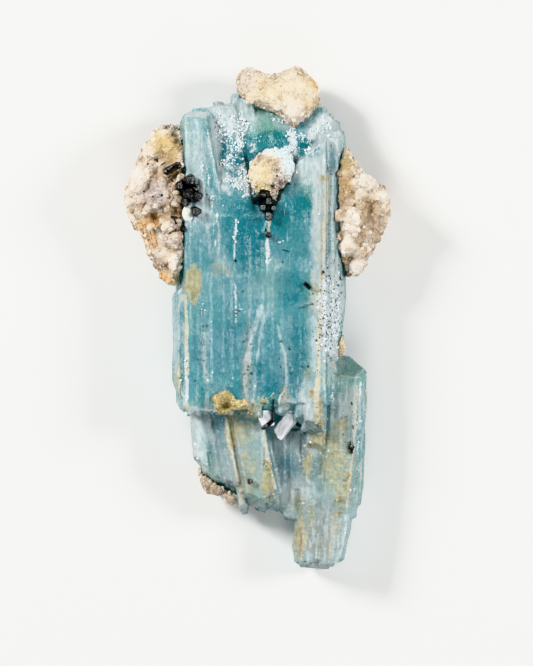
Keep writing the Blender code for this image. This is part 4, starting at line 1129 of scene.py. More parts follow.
ZONES = {
    # Patches of each mineral tone: x, y, half width, half height, strength.
    "feldspar_left": {
        "white": [
            (-20.0, 43.0, 2.0, 1.6, 0.8), (-27.0, 30.0, 2.4, 4.4, 0.9), (-24.0, 36.0, 1.4, 1.4, 0.6),
            (-19.6, 18.4, 2.2, 2.6, 1.2), (-22.6, 13.6, 1.4, 1.0, 0.8), (-18.4, 13.4, 1.2, 2.4, 0.9),
            (-17.0, 33.4, 1.2, 1.4, 0.6), (-21.8, 24.6, 1.6, 0.7, 0.9),
        ],
        "warm": [
            (-20.4, 38.4, 3.2, 2.8, 0.95), (-17.6, 36.0, 1.0, 4.0, 0.8), (-23.4, 33.4, 2.0, 1.2, 0.3),
            (-19.8, 8.8, 1.6, 1.4, 0.7), (-20.0, 21.0, 1.6, 1.4, 0.5),
        ],
        "grey": [(-21.6, 27.4, 3.2, 3.2, 1.0), (-22.8, 33.4, 2.0, 1.3, 0.7), (-17.8, 21.6, 1.6, 1.8, 0.8)],
        "rust": [
            (-22.6, 21.6, 1.8, 1.5, 1.0), (-25.0, 20.6, 2.2, 2.0, 0.75), (-23.0, 17.2, 1.6, 2.8, 0.6),
            (-21.6, 39.0, 0.9, 0.9, 0.45), (-20.0, 9.0, 2.0, 1.6, 0.65), (-24.0, 14.0, 0.8, 1.6, 0.4),
        ],
        "earth_and_shade": [
            (-21.0, 31.8, 2.6, 1.4, 0.9), (-18.4, 30.6, 1.6, 3.0, 1.0), (-18.2, 24.4, 1.6, 2.6, 0.95),
            (-26.8, 25.0, 1.8, 1.2, 0.55), (-25.0, 21.0, 1.6, 1.8, 0.4), (-21.0, 11.8, 3.0, 1.8, 0.6),
            (-18.2, 16.0, 0.8, 1.6, 0.5), (-19.8, 22.8, 2.4, 1.0, 0.6), (-17.6, 19.8, 1.4, 1.6, 0.6),
        ],
        "speck": [(-22.8, 34.0, 2.4, 1.3, 0.9), (-21.4, 27.4, 3.0, 3.0, 0.45), (-17.8, 21.6, 1.5, 1.4, 1.0)],
    },
    "feldspar_right": {
        "white": [
            (22.6, 29.8, 2.6, 2.4, 0.9), (20.5, 21.2, 2.0, 2.8, 1.3), (20.1, 15.6, 1.8, 1.7, 1.3),
            (22.2, 11.8, 1.7, 1.6, 0.8), (27.2, 27.2, 2.0, 1.6, 0.5), (25.0, 17.4, 1.6, 1.4, 0.5),
        ],
        "warm": [(19.6, 34.6, 2.0, 3.6, 0.8), (19.4, 29.0, 1.3, 2.6, 0.9), (24.6, 24.6, 3.0, 1.6, 0.3)],
        "grey": [(26.2, 21.4, 2.6, 4.4, 0.45), (22.6, 12.4, 2.2, 2.0, 0.35), (23.0, 30.0, 2.0, 2.0, 0.2)],
        "rust": [(19.2, 30.4, 0.9, 2.6, 0.35), (23.6, 22.6, 0.8, 0.6, 0.3)],
        "earth_and_shade": [
            (19.4, 28.4, 1.2, 3.0, 0.75), (24.0, 24.8, 3.0, 1.3, 0.75), (18.8, 24.8, 0.9, 2.2, 0.7),
            (22.8, 17.6, 0.9, 2.6, 0.55), (19.6, 13.0, 1.6, 1.2, 0.7), (23.8, 14.6, 1.4, 1.2, 0.5),
            (20.6, 10.0, 1.4, 1.0, 0.6), (25.0, 21.0, 3.6, 5.6, 0.45), (18.4, 18.2, 0.7, 1.0, 0.7),
        ],
        "speck": [(19.2, 26.0, 1.4, 9.0, 0.25)],
    },
    "feldspar_top": {
        "white": [(8.0, 44.6, 2.0, 1.8, 0.7), (3.0, 47.6, 3.0, 1.2, 0.4)],
        "warm": [(12.0, 52.0, 2.4, 3.0, 0.7), (4.0, 50.0, 7.0, 3.0, 0.45), (11.6, 47.0, 1.6, 2.4, 0.5)],
        "grey": [(-3.0, 51.6, 2.2, 2.4, 0.55), (7.4, 42.6, 1.2, 1.2, 0.5)],
        "rust": [(12.6, 52.6, 1.0, 1.8, 0.6)],
        "earth_and_shade": [(-2.4, 51.6, 2.2, 2.2, 0.35), (8.6, 48.6, 2.0, 1.4, 0.2), (3.0, 53.0, 2.6, 0.9, 0.2)],
        "speck": [(7.6, 42.6, 1.4, 1.4, 0.4)],
    },
    "feldspar_knob": {
        "white": [
            (6.6, 33.8, 1.8, 2.8, 1.4), (4.6, 35.8, 2.4, 1.2, 1.2),
            (2.6, 33.6, 1.4, 1.2, 0.6), (2.4, 29.2, 1.0, 0.9, 0.8),
        ],
        "warm": [(1.6, 31.0, 3.0, 2.8, 1.05), (0.4, 28.6, 1.6, 2.0, 0.9)],
        "grey": [(5.6, 29.0, 2.4, 2.6, 1.6)],
        "rust": [(0.8, 32.4, 0.8, 0.8, 0.3)],
        "earth_and_shade": [(5.0, 28.4, 2.4, 2.2, 0.55), (1.0, 27.4, 1.6, 0.9, 0.3)],
        "speck": [(5.2, 28.8, 2.6, 2.6, 1.8)],
        "halo": [(7.2, 34.0, 1.7, 3.2, 1.3), (5.0, 36.4, 3.0, 1.2, 1.2)],
    },
    "feldspar_lower": {
        "white": [(-6.0, -39.6, 1.6, 1.4, 0.7), (-12.2, -33.4, 0.8, 1.6, 0.6)],
        "warm": [(-9.0, -36.0, 5.0, 5.0, 0.25)],
        "grey": [(-9.0, -36.0, 5.0, 5.0, 0.4)],
        "rust": [(-10.2, -36.8, 1.8, 1.2, 0.5), (-5.6, -40.8, 1.6, 0.8, 0.45)],
        "earth_and_shade": [(-10.4, -36.4, 2.0, 1.6, 0.5)],
        "speck": [],
    },
    "feldspar_flake": {
        "white": [(18.0, -3.0, 1.2, 1.6, 0.6)],
        "warm": [(17.8, -6.0, 2.0, 2.4, 0.8)],
        "grey": [],
        "rust": [],
        "earth_and_shade": [(17.4, -7.4, 1.2, 1.2, 0.4)],
        "speck": [(17.8, -5.0, 2.0, 3.0, 0.6)],
    },
}
SOIL = {
    # How much brown earth lies all over each mass.
    "feldspar_left": 0.3,
    "feldspar_right": 0.4,
    "feldspar_top": 0.02,
    "feldspar_knob": 0.02,
    "feldspar_lower": 0.2,
    "feldspar_flake": 0.25,
}
LUMPS = {
    # Domed lumps and, below nought, hollows: x, y, half width, half height, rise.
    "feldspar_left": [
        (-19.2, 20.2, 1.5, 1.3, 1.2), (-18.4, 17.0, 1.5, 1.8, 1.3), (-20.6, 13.4, 1.5, 1.6, 1.0),
        (-18.3, 12.0, 1.2, 2.0, 1.0), (-20.4, 17.2, 0.9, 1.2, 0.8), (-20.4, 9.2, 1.4, 1.4, 0.9),
        (-18.6, 8.6, 1.1, 1.6, 0.9), (-24.2, 23.9, 1.0, 0.9, 0.7), (-22.2, 24.6, 0.9, 0.8, 0.7),
        (-26.2, 29.4, 2.0, 5.0, 0.8), (-20.6, 40.0, 2.6, 3.6, 0.7), (-23.6, 36.4, 1.8, 1.4, 0.6),
        (-22.2, 27.2, 3.2, 3.0, 0.7), (-23.4, 21.4, 2.3, 2.0, -1.6), (-18.8, 31.2, 1.8, 1.8, -1.4),
        (-17.8, 23.6, 1.4, 2.4, -1.3), (-22.8, 17.4, 2.0, 3.0, -0.7), (-25.4, 25.4, 1.8, 1.4, -0.5),
    ],
    "feldspar_right": [
        (22.9, 29.6, 2.6, 2.0, 1.4), (20.6, 21.4, 1.8, 3.0, 1.7), (19.8, 15.8, 1.8, 1.9, 1.6),
        (21.8, 11.4, 1.9, 1.9, 1.4), (20.2, 25.8, 0.9, 0.9, 0.9), (27.0, 26.6, 1.7, 1.6, 0.6),
        (24.6, 18.4, 1.0, 0.9, 0.5), (26.6, 21.6, 1.0, 1.2, 0.5), (19.4, 33.4, 1.4, 3.0, 0.5),
        (24.8, 21.4, 3.4, 5.6, -0.7), (22.9, 16.4, 1.6, 3.6, -0.4), (20.0, 13.3, 1.4, 0.9, -0.7),
        (22.6, 26.4, 2.2, 1.2, -0.6), (18.9, 27.4, 0.8, 1.8, -0.6),
    ],
    "feldspar_top": [(11.0, 51.0, 2.6, 2.6, 0.5), (8.6, 45.6, 2.4, 2.2, 0.5), (-1.6, 52.0, 2.0, 1.6, 0.4)],
    "feldspar_knob": [
        (1.2, 32.6, 1.8, 1.5, 0.6), (3.9, 33.6, 1.5, 1.3, 0.6), (2.4, 29.7, 1.3, 1.1, 0.6),
        (5.4, 31.2, 1.2, 1.3, 0.4), (4.8, 28.2, 1.8, 1.3, -0.5),
    ],
    "feldspar_lower": [
        (-11.6, -35.6, 1.3, 2.2, 0.7), (-9.0, -38.0, 1.4, 1.2, 0.6), (-6.0, -39.8, 1.6, 1.2, 0.6),
    ],
    "feldspar_flake": [(18.0, -3.4, 1.0, 1.6, 0.3)],
}
RUST_RODS = [
    # x, y of the upper and lower ends, thickness: iron-stained rods side by side.
    (-24.6, 20.4, -23.6, 15.0, 0.55),
    (-23.9, 20.2, -22.7, 14.8, 0.45),
    (-23.1, 20.6, -21.9, 15.2, 0.5),
    (-25.3, 19.4, -24.6, 15.6, 0.4),
    (-24.9, 17.6, -23.9, 13.6, 0.35),
]
LAYERS = {
    # Name, how many, smallest, largest, fineness, sink below the ground (parts of a grain).
    "coarse": [("grains", 420, 0.7, 1.8, 2, -0.16), ("sugar", 4600, 0.24, 0.6, 1, -0.12)],
    "round": [("grains", 320, 0.7, 1.7, 2, -0.18), ("sugar", 4400, 0.22, 0.55, 1, -0.12)],
    "fine": [("grains", 300, 0.5, 1.2, 2, -0.2), ("sugar", 3600, 0.2, 0.45, 1, -0.15)],
    "small": [("grains", 160, 0.5, 1.2, 2, -0.16), ("sugar", 1700, 0.2, 0.5, 1, -0.1)],
    "flake": [("sugar", 1700, 0.2, 0.5, 1, -0.1)],
}
MASSES = {
    # Mesh fineness, seed, the mounds' number, spacing and height, and the layers of grains.
    "feldspar_left": (0.42, 101, (70, 3.2, 1.1), "coarse"),
    "feldspar_right": (0.42, 102, (60, 3.4, 1.3), "round"),
    "feldspar_top": (0.45, 103, (40, 3.0, 0.5), "fine"),
    "feldspar_knob": (0.3, 104, (22, 2.2, 0.8), "small"),
    "feldspar_lower": (0.3, 105, (16, 2.4, 0.8), "small"),
    "feldspar_flake": (0.25, 106, (8, 2.0, 0.3), "flake"),
}


def spread_out(rng, points, number, apart):
    """Picks points no nearer than a given distance to each other."""
    chosen = []
    for n in rng.permutation(len(points))[: number * 12]:
        if chosen:
            gap = np.linalg.norm(points[chosen] - points[n], axis=1).min()
            if gap < apart:
                continue
        chosen.append(n)
        if len(chosen) == number:
            break
    return np.array(chosen)


def mounds(points, rng, number, apart, height, sharpness=5.0):
    """Soft rounded mounds of uneven size crowded on a surface: their height and their tone."""
    total = np.full(len(points), math.exp(-0.4 * sharpness))
    tone = 0.5 * total
    for n in spread_out(rng, points, number, apart):
        reach = apart * rng.uniform(0.6, 1.3)
        top = height * rng.uniform(0.4, 1.15)
        away = np.linalg.norm(points - points[n], axis=1) / reach
        share = np.exp(sharpness * top * (1 - away**2)) * (away < 3)
        total += share
        tone += share * rng.random()
    return np.log(total) / sharpness, tone / total


def swellings(points, table, seed):
    """How far named lumps stand out and hollows go in at each point, with wavering outlines."""
    at = points[:, :2] + 0.45 * np.stack(
        [layered_noise(points * 0.7, seed, 2), layered_noise(points * 0.7, seed + 1, 2)], axis=1
    )
    rise = np.zeros(len(points))
    dip = np.zeros(len(points))
    for x, y, wide, tall, height in table:
        inside = np.clip(1 - ((at[:, 0] - x) / wide) ** 2 - ((at[:, 1] - y) / tall) ** 2, 0, 1)
        if height > 0:
            rise = np.maximum(rise, height * np.sqrt(inside))
        else:
            dip = np.minimum(dip, height * inside)
    return rise, dip


def rust_rods(points, normals, rng):
    """Slim rods that follow the ground between their ends, each in short broken lengths."""
    made = []
    ground = points[normals[:, 2] > 0.15]
    steps = 9
    share = (np.arange(steps) + 0.5) / steps
    for x1, y1, x2, y2, thick in RUST_RODS:
        x = x1 + (x2 - x1) * share + rng.normal(scale=0.06, size=steps)
        y = y1 + (y2 - y1) * share
        nearest = [np.argmin((ground[:, 0] - a) ** 2 + (ground[:, 1] - b) ** 2) for a, b in zip(x, y)]
        z = np.pad(ground[nearest][:, 2], 1, mode="edge")
        z = np.convolve(z, [0.25, 0.5, 0.25], mode="valid") + 0.12
        centres = np.stack([x, y, z], axis=1)
        way = np.gradient(centres, axis=0)
        length = np.linalg.norm(way, axis=1)
        way /= length[:, None]
        across = np.cross(way, [0.0, 0.0, 1.0])
        across /= np.linalg.norm(across, axis=1)[:, None]
        turns = np.stack([across, way, np.cross(across, way)], axis=2)
        sizes = np.stack([np.full(steps, thick), length * 1.15, np.full(steps, thick * 0.9)], axis=1)
        sizes *= rng.uniform(0.85, 1.1, (steps, 3))
        tints = rng.uniform(0.2, 0.9, steps)
        rod = scatter("rust_rod", grain_shape(2), centres, sizes, turns, tints, rng, rough=0.06)
        count = len(rod.data.vertices)
        for key in ZONES["feldspar_left"]:
            store(rod.data, key, np.full(count, {"rust": 0.95, "earth_and_shade": 0.1}.get(key, 0.0)))
        rod.data.shade_smooth()
        made.append(rod)
    return made


def feldspar_masks(node, seed, points, faces_front, sunk, rise, dip):
    """The strength of each mineral tone, browner in the hollows with brown earth and painted shade, and
    whiter on the raised lumps with a painted highlight.
    """
    masks = {
        key: patches(points, table, seed + 50 + n) * faces_front
        for n, (key, table) in enumerate(ZONES[node].items())
    }
    # Faces turned down, hollows and dips get more brown and raised lumps get less: painted shade over the
    # brown earth.
    away = 0.04 * (1 - faces_front)
    earth_and_shade = SOIL[node] + away + masks["earth_and_shade"] + 0.45 * sunk - 0.3 * dip - 0.35 * rise
    masks["earth_and_shade"] = np.clip(earth_and_shade - 0.3 * masks["white"], 0, 1)
    # Raised lumps are whitened by their height: a painted highlight over the white grains.
    masks["white"] = np.clip(masks["white"] + 0.45 * rise * faces_front, 0, 1)
    return masks


def make_feldspar(node, grid, seed, bulge, layers, finish):
    """A granular mass: named lumps, crowded mounds, broken grains and sugary grains over all."""
    rng = np.random.default_rng(seed)
    mass = dense_copy(node, node + "_mass", grid * MM, hug=0.5)
    mesh = mass.data
    points = read_points(mesh) / MM
    ends, count = neighbours(mesh)
    normals = relaxed(read_normals(mesh), ends, count, 6)
    normals /= np.linalg.norm(normals, axis=1)[:, None]
    faces_front = ease(-0.1, 0.4, normals[:, 2])
    crowd, apart, height = bulge
    high, tone = mounds(points, rng, crowd, apart, height, 4.0)
    low, fine_tone = mounds(points, rng, crowd * 5, apart * 0.4, height * 0.3, 7.0)
    rise, dip = swellings(points, LUMPS[node], seed + 60)
    relief = 0.75 * (high - 0.5 * height) + 0.45 * low + faces_front * (rise + dip) - 0.3
    relief += 0.15 * height * layered_noise(points * 1.2, seed + 3, 3)
    relief += 0.07 * layered_noise(points * 2.6, seed + 9, 2)
    moved = points + normals * np.minimum(relief, 1.2)[:, None]
    moved[:, 2] = np.maximum(moved[:, 2], LOWEST)
    write_points(mesh, moved * MM)
    mesh.shade_smooth()
    normals = read_normals(mesh)
    # How far each point sinks below its surroundings, for the painted shade in the hollows.
    sunk = ease(0.02, 0.4, -standing_out(moved, normals, ends, count, 24))
    masks = feldspar_masks(node, seed, moved, faces_front, sunk, rise, dip)
    tints = 0.6 * tone + 0.4 * fine_tone + 0.3 * layered_noise(moved * 0.6, seed + 13, 2)
    tints = np.clip(tints, 0, 1) * 0.85
    store(mesh, "tint", tints)
    for name, values in masks.items():
        store(mesh, name, values)
    # The rims get more grains, so that the outline is as crumbly as the face.
    rim = 1.0 + 1.4 * (np.abs(normals[:, 2]) < 0.45) * (moved[:, 2] > 2.0)
    rim /= rim.sum()
    parts = [mass]
    for name, number, smallest, largest, fineness, sink in LAYERS[layers]:
        shape = grain_shape(fineness)
        pick = rng.choice(len(moved), number, p=rim)
        size = rng.uniform(smallest, largest, (number, 1)) * rng.uniform(0.8, 1.2, (number, 3))
        centres = moved[pick] + normals[pick] * sink * size.mean(axis=1, keepdims=True)
        tones = np.clip(tints[pick] + rng.uniform(-0.4, 0.6, number), 0, 1)
        turns = random_turns(rng, number)
        layer = scatter(f"{node}_{name}", shape, centres, size, turns, tones, rng, slant=0.3, rough=0.1)
        # The grains carry less of the brown earth and painted shade than the ground between them.
        for key, values in masks.items():
            share = 0.45 if key == "earth_and_shade" else 1.0
            store(layer.data, key, np.repeat(share * values[pick], len(shape[0])))
        layer.data.shade_smooth()
        parts.append(layer)
    if node == "feldspar_left":
        parts += rust_rods(moved, normals, rng)
    mass = join(parts, node + "_mass")
    mass.data.materials.clear()
    mass.data.materials.append(finish)
    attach(mass, "root")
    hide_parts(node)
    return mass


# ---------------------------------------------------------------- frost and crusts


def make_frost(name, points, normals, frost, most, seed):
    """Small white plates that make the snowy patches on the upper faces."""
    rng = np.random.default_rng(seed)
    pattern = layered_noise(points * 0.9, 61, 3)
    chance = ease(0.42, 0.7, frost + 0.9 * pattern) * ease(0.1, 0.4, normals[:, 2])
    pick = np.flatnonzero(rng.random(len(points)) < chance * 0.6)
    pick = rng.permutation(pick)[:most]
    count = len(pick)
    size = rng.uniform(0.14, 0.34, (count, 1)) * rng.uniform(0.7, 1.3, (count, 3))
    centres = points[pick] + rng.normal(scale=0.14, size=(count, 3))
    turns = random_turns(rng, count)
    tints = rng.random(count)
    plates = scatter(name, block_shape(), centres, size, turns, tints, rng, slant=0.3, rough=0.15)
    plates.data.materials.append(frost_finish())
    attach(plates, "root")


KNOB_FROST = [
    # The frosty halo on the knob's upper right: x, y, half width, half height, strength.
    (4.6, 36.4, 2.6, 1.0, 0.9),
    (7.2, 34.2, 1.0, 1.8, 0.8),
]
CRUST_PLACES = [
    # x, y, half width, half height, density
    (2.8, -35.0, 1.1, 4.0, 1.0),
    (2.2, -38.6, 1.2, 0.9, 0.7),
    (17.2, -27.2, 2.6, 1.6, 0.5),
    (13.4, -26.4, 2.2, 1.1, 0.6),
    (12.0, -28.0, 1.8, 0.8, 0.8),
    (13.2, -23.8, 1.6, 1.0, 0.8),
    (14.9, -23.4, 0.6, 5.0, 0.9),
    (13.6, -21.6, 1.0, 1.8, 0.7),
    (18.4, -23.4, 1.8, 1.2, 0.5),
    (16.0, -31.0, 1.2, 3.0, 0.4),
    (19.6, -35.6, 1.0, 1.8, 0.5),
    (18.2, -40.6, 1.0, 1.2, 0.7),
    (11.3, -31.0, 0.5, 2.8, 0.5),
    (6.0, -17.6, 0.9, 1.6, 0.6),
    (1.0, -17.4, 1.4, 0.6, 0.8),
    (-1.9, -20.4, 1.6, 1.4, 0.7),
    (-6.6, -22.0, 0.5, 0.6, 0.5),
    (10.0, -40.0, 3.0, 0.8, 0.4),
    (12.2, -43.0, 0.7, 2.2, 0.4),
    (-17.0, -13.6, 0.6, 2.2, 0.5),
]


def make_crust(points, normals):
    """The lower edge's yellow-brown crust, and its grains scattered down the ridges."""
    rng = np.random.default_rng(83)
    finish = crust_finish()
    crust = dense_copy("iron_crust", "iron_crust_body", CRUST_GRID, hug=0.6)
    mesh = crust.data
    at = read_points(mesh) / MM
    out = read_normals(mesh)
    # The middle is hollow, so the crust reads as a curled rim.
    bowl = ease(1.3, 0.3, np.hypot((at[:, 0] + 6.9) / 1.5, (at[:, 1] + 19.2) / 1.1))
    relief = 0.5 * (0.5 - grain_distance(at / 0.8, 91)) + 0.15 * layered_noise(at * 2.5, 92, 2) - 0.1
    at = at + out * relief[:, None]
    at[:, 2] -= 1.6 * bowl * ease(0.2, 0.6, out[:, 2])
    write_points(mesh, at * MM)
    mesh.shade_smooth()
    tint = 0.45 + 0.3 * layered_noise(at * 0.8, 93, 2) - 0.5 * bowl
    store(mesh, "tint", np.clip(tint, 0, 1))
    count = 1100
    pick = rng.choice(len(at), count, replace=False)
    size = rng.uniform(0.15, 0.4, (count, 3))
    turns = random_turns(rng, count)
    tints = np.clip(tint[pick] + rng.uniform(-0.3, 0.4, count), 0, 1)
    crumbs = scatter(
        "crust_grains", block_shape(), at[pick], size, turns, tints, rng, slant=0.4, rough=0.15
    )
    crust = join([crust, crumbs], "iron_crust_body")
    crust.data.materials.clear()
    crust.data.materials.append(finish)
    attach(crust, "root")
    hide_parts("iron_crust")
    # Scattered grains.
    chance = patches(points, CRUST_PLACES, 94) * ease(0.2, 0.5, normals[:, 2])
    chance *= ease(-0.2, 0.5, layered_noise(points * 1.1, 95, 3))
    pick = np.flatnonzero(rng.random(len(points)) < chance * 0.9)
    pick = rng.permutation(pick)[:5200]
    count = len(pick)
    size = rng.uniform(0.14, 0.36, (count, 3))
    centres = points[pick] + rng.normal(scale=0.12, size=(count, 3))
    turns = random_turns(rng, count)
    tints = rng.uniform(0.1, 1.0, count)
    loose = scatter("ridge_grains", block_shape(), centres, size, turns, tints, rng, slant=0.4, rough=0.15)
    loose.data.materials.append(finish)
    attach(loose, "root")


# ---------------------------------------------------------------- schorl, blades, bead


SCHORL = {
    # Foot, tip, radius of each prism, in millimetres, as the solids have them.
    "schorl_left_group": [
        ((-15.4, 29.2, 16.6), (-14.6, 30.4, 21.4), 1.4),
        ((-16.2, 28.8, 16.0), (-16.9, 29.0, 20.6), 1.0),
        ((-15.2, 27.4, 16.8), (-14.9, 27.2, 21.8), 1.4),
        ((-14.0, 28.4, 17.0), (-13.2, 28.6, 20.6), 1.0),
        ((-13.9, 27.0, 17.2), (-12.8, 26.5, 21.2), 1.2),
        ((-15.6, 25.8, 17.0), (-15.7, 25.3, 20.5), 1.05),
        ((-15.6, 28.4, 17.0), (-15.8, 28.3, 20.2), 0.9),
        ((-14.4, 26.2, 17.2), (-14.0, 26.0, 20.2), 0.8),
    ],
    "schorl_upper_left": [((-20.2, 32.0, 18.2), (-16.8, 33.7, 19.8), 0.85)],
    "schorl_hexagon": [((-13.4, 23.4, 18.0), (-13.3, 23.3, 21.2), 1.15)],
    "schorl_small_left": [((-15.9, 19.6, 15.2), (-15.8, 19.5, 19.2), 0.75)],
    "schorl_centre_group": [
        ((-0.4, 25.5, 18.8), (2.1, 27.3, 21.2), 1.05),
        ((2.3, 25.3, 17.6), (2.5, 25.5, 22.2), 1.0),
        ((1.3, 24.2, 17.6), (1.2, 24.2, 21.2), 0.85),
        ((3.3, 24.1, 17.6), (3.6, 24.1, 21.6), 0.85),
        ((2.5, 22.6, 17.6), (2.5, 22.3, 21.8), 1.15),
    ],
    "schorl_drop": [((2.4, 18.3, 18.6), (2.4, 18.1, 20.9), 0.7)],
    "schorl_right": [((10.3, 7.7, 20.0), (11.9, 6.3, 20.5), 0.5)],
    "schorl_side": [
        ((20.6, -27.1, 12.8), (20.3, -28.6, 13.05), 0.42),
        ((20.9, -28.0, 12.7), (20.3, -29.7, 12.85), 0.5),
        ((20.1, -28.3, 12.85), (20.9, -28.9, 13.15), 0.4),
        ((20.7, -29.2, 12.75), (20.8, -29.9, 12.6), 0.3),
    ],
    "schorl_lower": [((-1.7, -35.8, 14.4), (-1.6, -35.7, 16.0), 0.7)],
    "schorl_foot": [((9.0, -23.4, 10.0), (9.8, -23.3, 12.2), 0.6)],
    "schorl_hook": [
        ((3.5, -17.6, 19.6), (3.3, -20.4, 19.2), 0.22),
        ((3.3, -20.1, 19.3), (3.2, -22.6, 15.2), 0.3),
        ((3.5, -22.2, 15.5), (2.2, -23.5, 15.5), 0.5),
        ((2.6, -23.2, 15.4), (1.0, -24.2, 15.2), 0.46),
    ],
}


def ribbed_prism(foot, tip, radius, rng):
    """A schorl prism: three bulged sides with sharp ribs, and a bevelled, slanting end."""
    foot, tip = Vector(foot) * MM, Vector(tip) * MM
    radius *= MM
    axis = tip - foot
    turn = Vector((0, 0, 1)).rotation_difference(axis.normalized()).to_matrix()
    spin = rng.uniform(0, math.tau)
    slope = rng.uniform(0.1, 0.45)
    # Corner angles of the nine-sided section.
    corners = [n * math.tau / 3 + step for n in range(3) for step in (-0.42, 0.0, 0.42)]
    rings = [(0.0, 1.0), (0.5, 1.0), (0.9, 1.0), (1.0, 0.74)]
    bm = bmesh.new()
    loops = []
    for ring, width in rings:
        loop = []
        for n, angle in enumerate(corners):
            section = 1.0 if n % 3 == 1 else 0.99
            reach = radius * section * width
            drop = slope * radius * (1 + math.cos(angle)) * (ring >= 0.9)
            place = Vector((reach * math.cos(angle + spin), reach * math.sin(angle + spin), 0))
            place.z = axis.length * ring - drop
            loop.append(bm.verts.new(foot + turn @ place))
        loops.append(loop)
    for lower, upper in zip(loops[:-1], loops[1:]):
        for n in range(9):
            m = (n + 1) % 9
            bm.faces.new((lower[n], lower[m], upper[m], upper[n]))
    bm.faces.new(loops[-1])
    bm.faces.new(loops[0][::-1])
    bmesh.ops.bevel(
        bm, geom=[e for e in bm.edges if e.calc_face_angle(0) > 0.3], offset=radius * 0.05,
        segments=2, affect="EDGES",
    )
    bmesh.ops.recalc_face_normals(bm, faces=bm.faces)
    mesh = bpy.data.meshes.new("prism")
    bm.to_mesh(mesh)
    bm.free()
    points = read_points(mesh)
    local = (points - np.array(foot)) @ np.array(turn)
    store_vector(mesh, "along", local)
    obj = bpy.data.objects.new("prism", mesh)
    bpy.context.scene.collection.objects.link(obj)
    return obj


def make_schorl():
    rng = np.random.default_rng(17)
    finish = schorl_finish()
    for node, prisms in SCHORL.items():
        made = [ribbed_prism(*prism, rng) for prism in prisms]
        piece = join(made, node + "_ribbed") if len(made) > 1 else made[0]
        piece.name = node + "_ribbed"
        piece.data.materials.append(finish)
        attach(piece, "root")
        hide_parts(node)
    return finish


NEEDLES = [
    # x, y of the two ends, thickness: fine schorl needles and grains lying on the surface.
    (-4.9, 12.8, -4.7, 12.3, 0.5),
    (-4.7, 2.0, -4.7, 1.6, 0.42),
    (-4.75, 1.2, -4.7, 0.9, 0.4),
    (-4.7, 0.4, -4.72, 0.1, 0.4),
    (-3.3, 6.0, -3.1, 5.8, 0.3),
    (5.5, 15.0, 6.9, 14.6, 0.22),
    (5.4, 12.5, 5.6, 12.1, 0.25),
    (5.0, -4.9, 5.3, -5.2, 0.45),
    (6.9, -6.4, 7.1, -6.9, 0.38),
    (10.9, -10.3, 11.2, -10.7, 0.4),
    (9.0, 2.2, 11.8, 3.2, 0.14),
    (14.2, 10.4, 14.6, 9.9, 0.45),
    (17.8, 9.3, 18.2, 8.4, 0.7),
    (-11.1, 27.2, -10.9, 26.9, 0.3),
    (-1.3, 28.6, -0.9, 28.4, 0.35),
    (4.8, 26.7, 5.2, 26.1, 0.5),
    (4.3, 29.9, 5.0, 28.1, 0.55),
    (6.6, 29.8, 7.2, 29.2, 0.35),
    (3.4, 27.5, 4.3, 26.0, 0.3),
    (1.7, 19.6, 2.0, 18.9, 0.4),
    (0.7, 23.8, 1.4, 23.1, 0.6),
    (8.5, -23.0, 10.2, -24.0, 0.35),
    (10.0, -24.6, 10.5, -25.6, 0.25),
    (0.4, -20.4, 1.6, -20.6, 0.25),
    (-11.9, -5.0, -12.1, -5.9, 0.35),
    (-12.2, -7.2, -12.3, -7.7, 0.35),
    (20.6, -18.4, 20.9, -19.0, 0.3),
    (20.9, -23.4, 21.1, -24.4, 0.3),
    (22.5, -39.8, 22.7, -40.6, 0.4),
    (-24.2, 34.4, -23.8, 33.4, 0.35),
    (-22.2, 34.9, -21.8, 34.2, 0.4),
    (-21.0, 33.6, -20.2, 34.1, 0.3),
    (-18.9, 22.2, -17.4, 22.0, 0.55),
    (-18.3, 21.9, -17.7, 20.6, 0.5),
    (-19.6, 30.9, -18.4, 29.9, 0.4),
    (-16.5, 21.2, -16.2, 20.8, 0.3),
    (-18.4, 26.6, -18.9, 25.2, 0.35),
]


def make_needles(finish, grounds):
    """Tiny schorl needles and grains laid on whatever surface is under them."""
    rng = np.random.default_rng(57)
    trees = []
    for ground in grounds:
        mesh = ground.data
        points = read_points(mesh)
        mesh.calc_loop_triangles()
        sides = np.empty(len(mesh.loop_triangles) * 3, np.int32)
        mesh.loop_triangles.foreach_get("vertices", sides)
        trees.append(BVHTree.FromPolygons(points.tolist(), sides.reshape(-1, 3).tolist()))

    def lies_at(x, y):
        found = 0.0
        for tree in trees:
            hit = tree.ray_cast(Vector((x * MM, y * MM, 0.1)), Vector((0, 0, -1)))
            if hit[0] is not None:
                found = max(found, hit[0].z / MM)
        return found

    made = []
    table = list(NEEDLES)
    for _ in range(130):
        x = rng.uniform(13.2, 18.8)
        y = rng.normal(1.0, 6.0)
        table.append((x, y, x + rng.uniform(-0.15, 0.15), y + rng.uniform(0.1, 0.4), rng.uniform(0.14, 0.34)))
    for x1, y1, x2, y2, thick in table:
        z1, z2 = lies_at(x1, y1), lies_at(x2, y2)
        if min(z1, z2) < 2:
            continue
        if abs(z1 - z2) > 0.8:
            # A needle across a step lies on the lower ground.
            z1 = z2 = min(z1, z2)
        made.append(ribbed_prism((x1, y1, z1 + 0.02), (x2, y2, z2 + 0.06), thick * 0.5, rng))
    piece = join(made, "schorl_needles")
    piece.data.materials.append(finish)
    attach(piece, "root")


BLADES = {
    "blade_right": ((6.3, -23.0, 12.8), (3.4, 7.8, 1.6), -38.0, 22.0),
    "blade_left": ((1.7, -21.6, 14.0), (3.2, 4.2, 1.1), 14.0, 30.0),
}


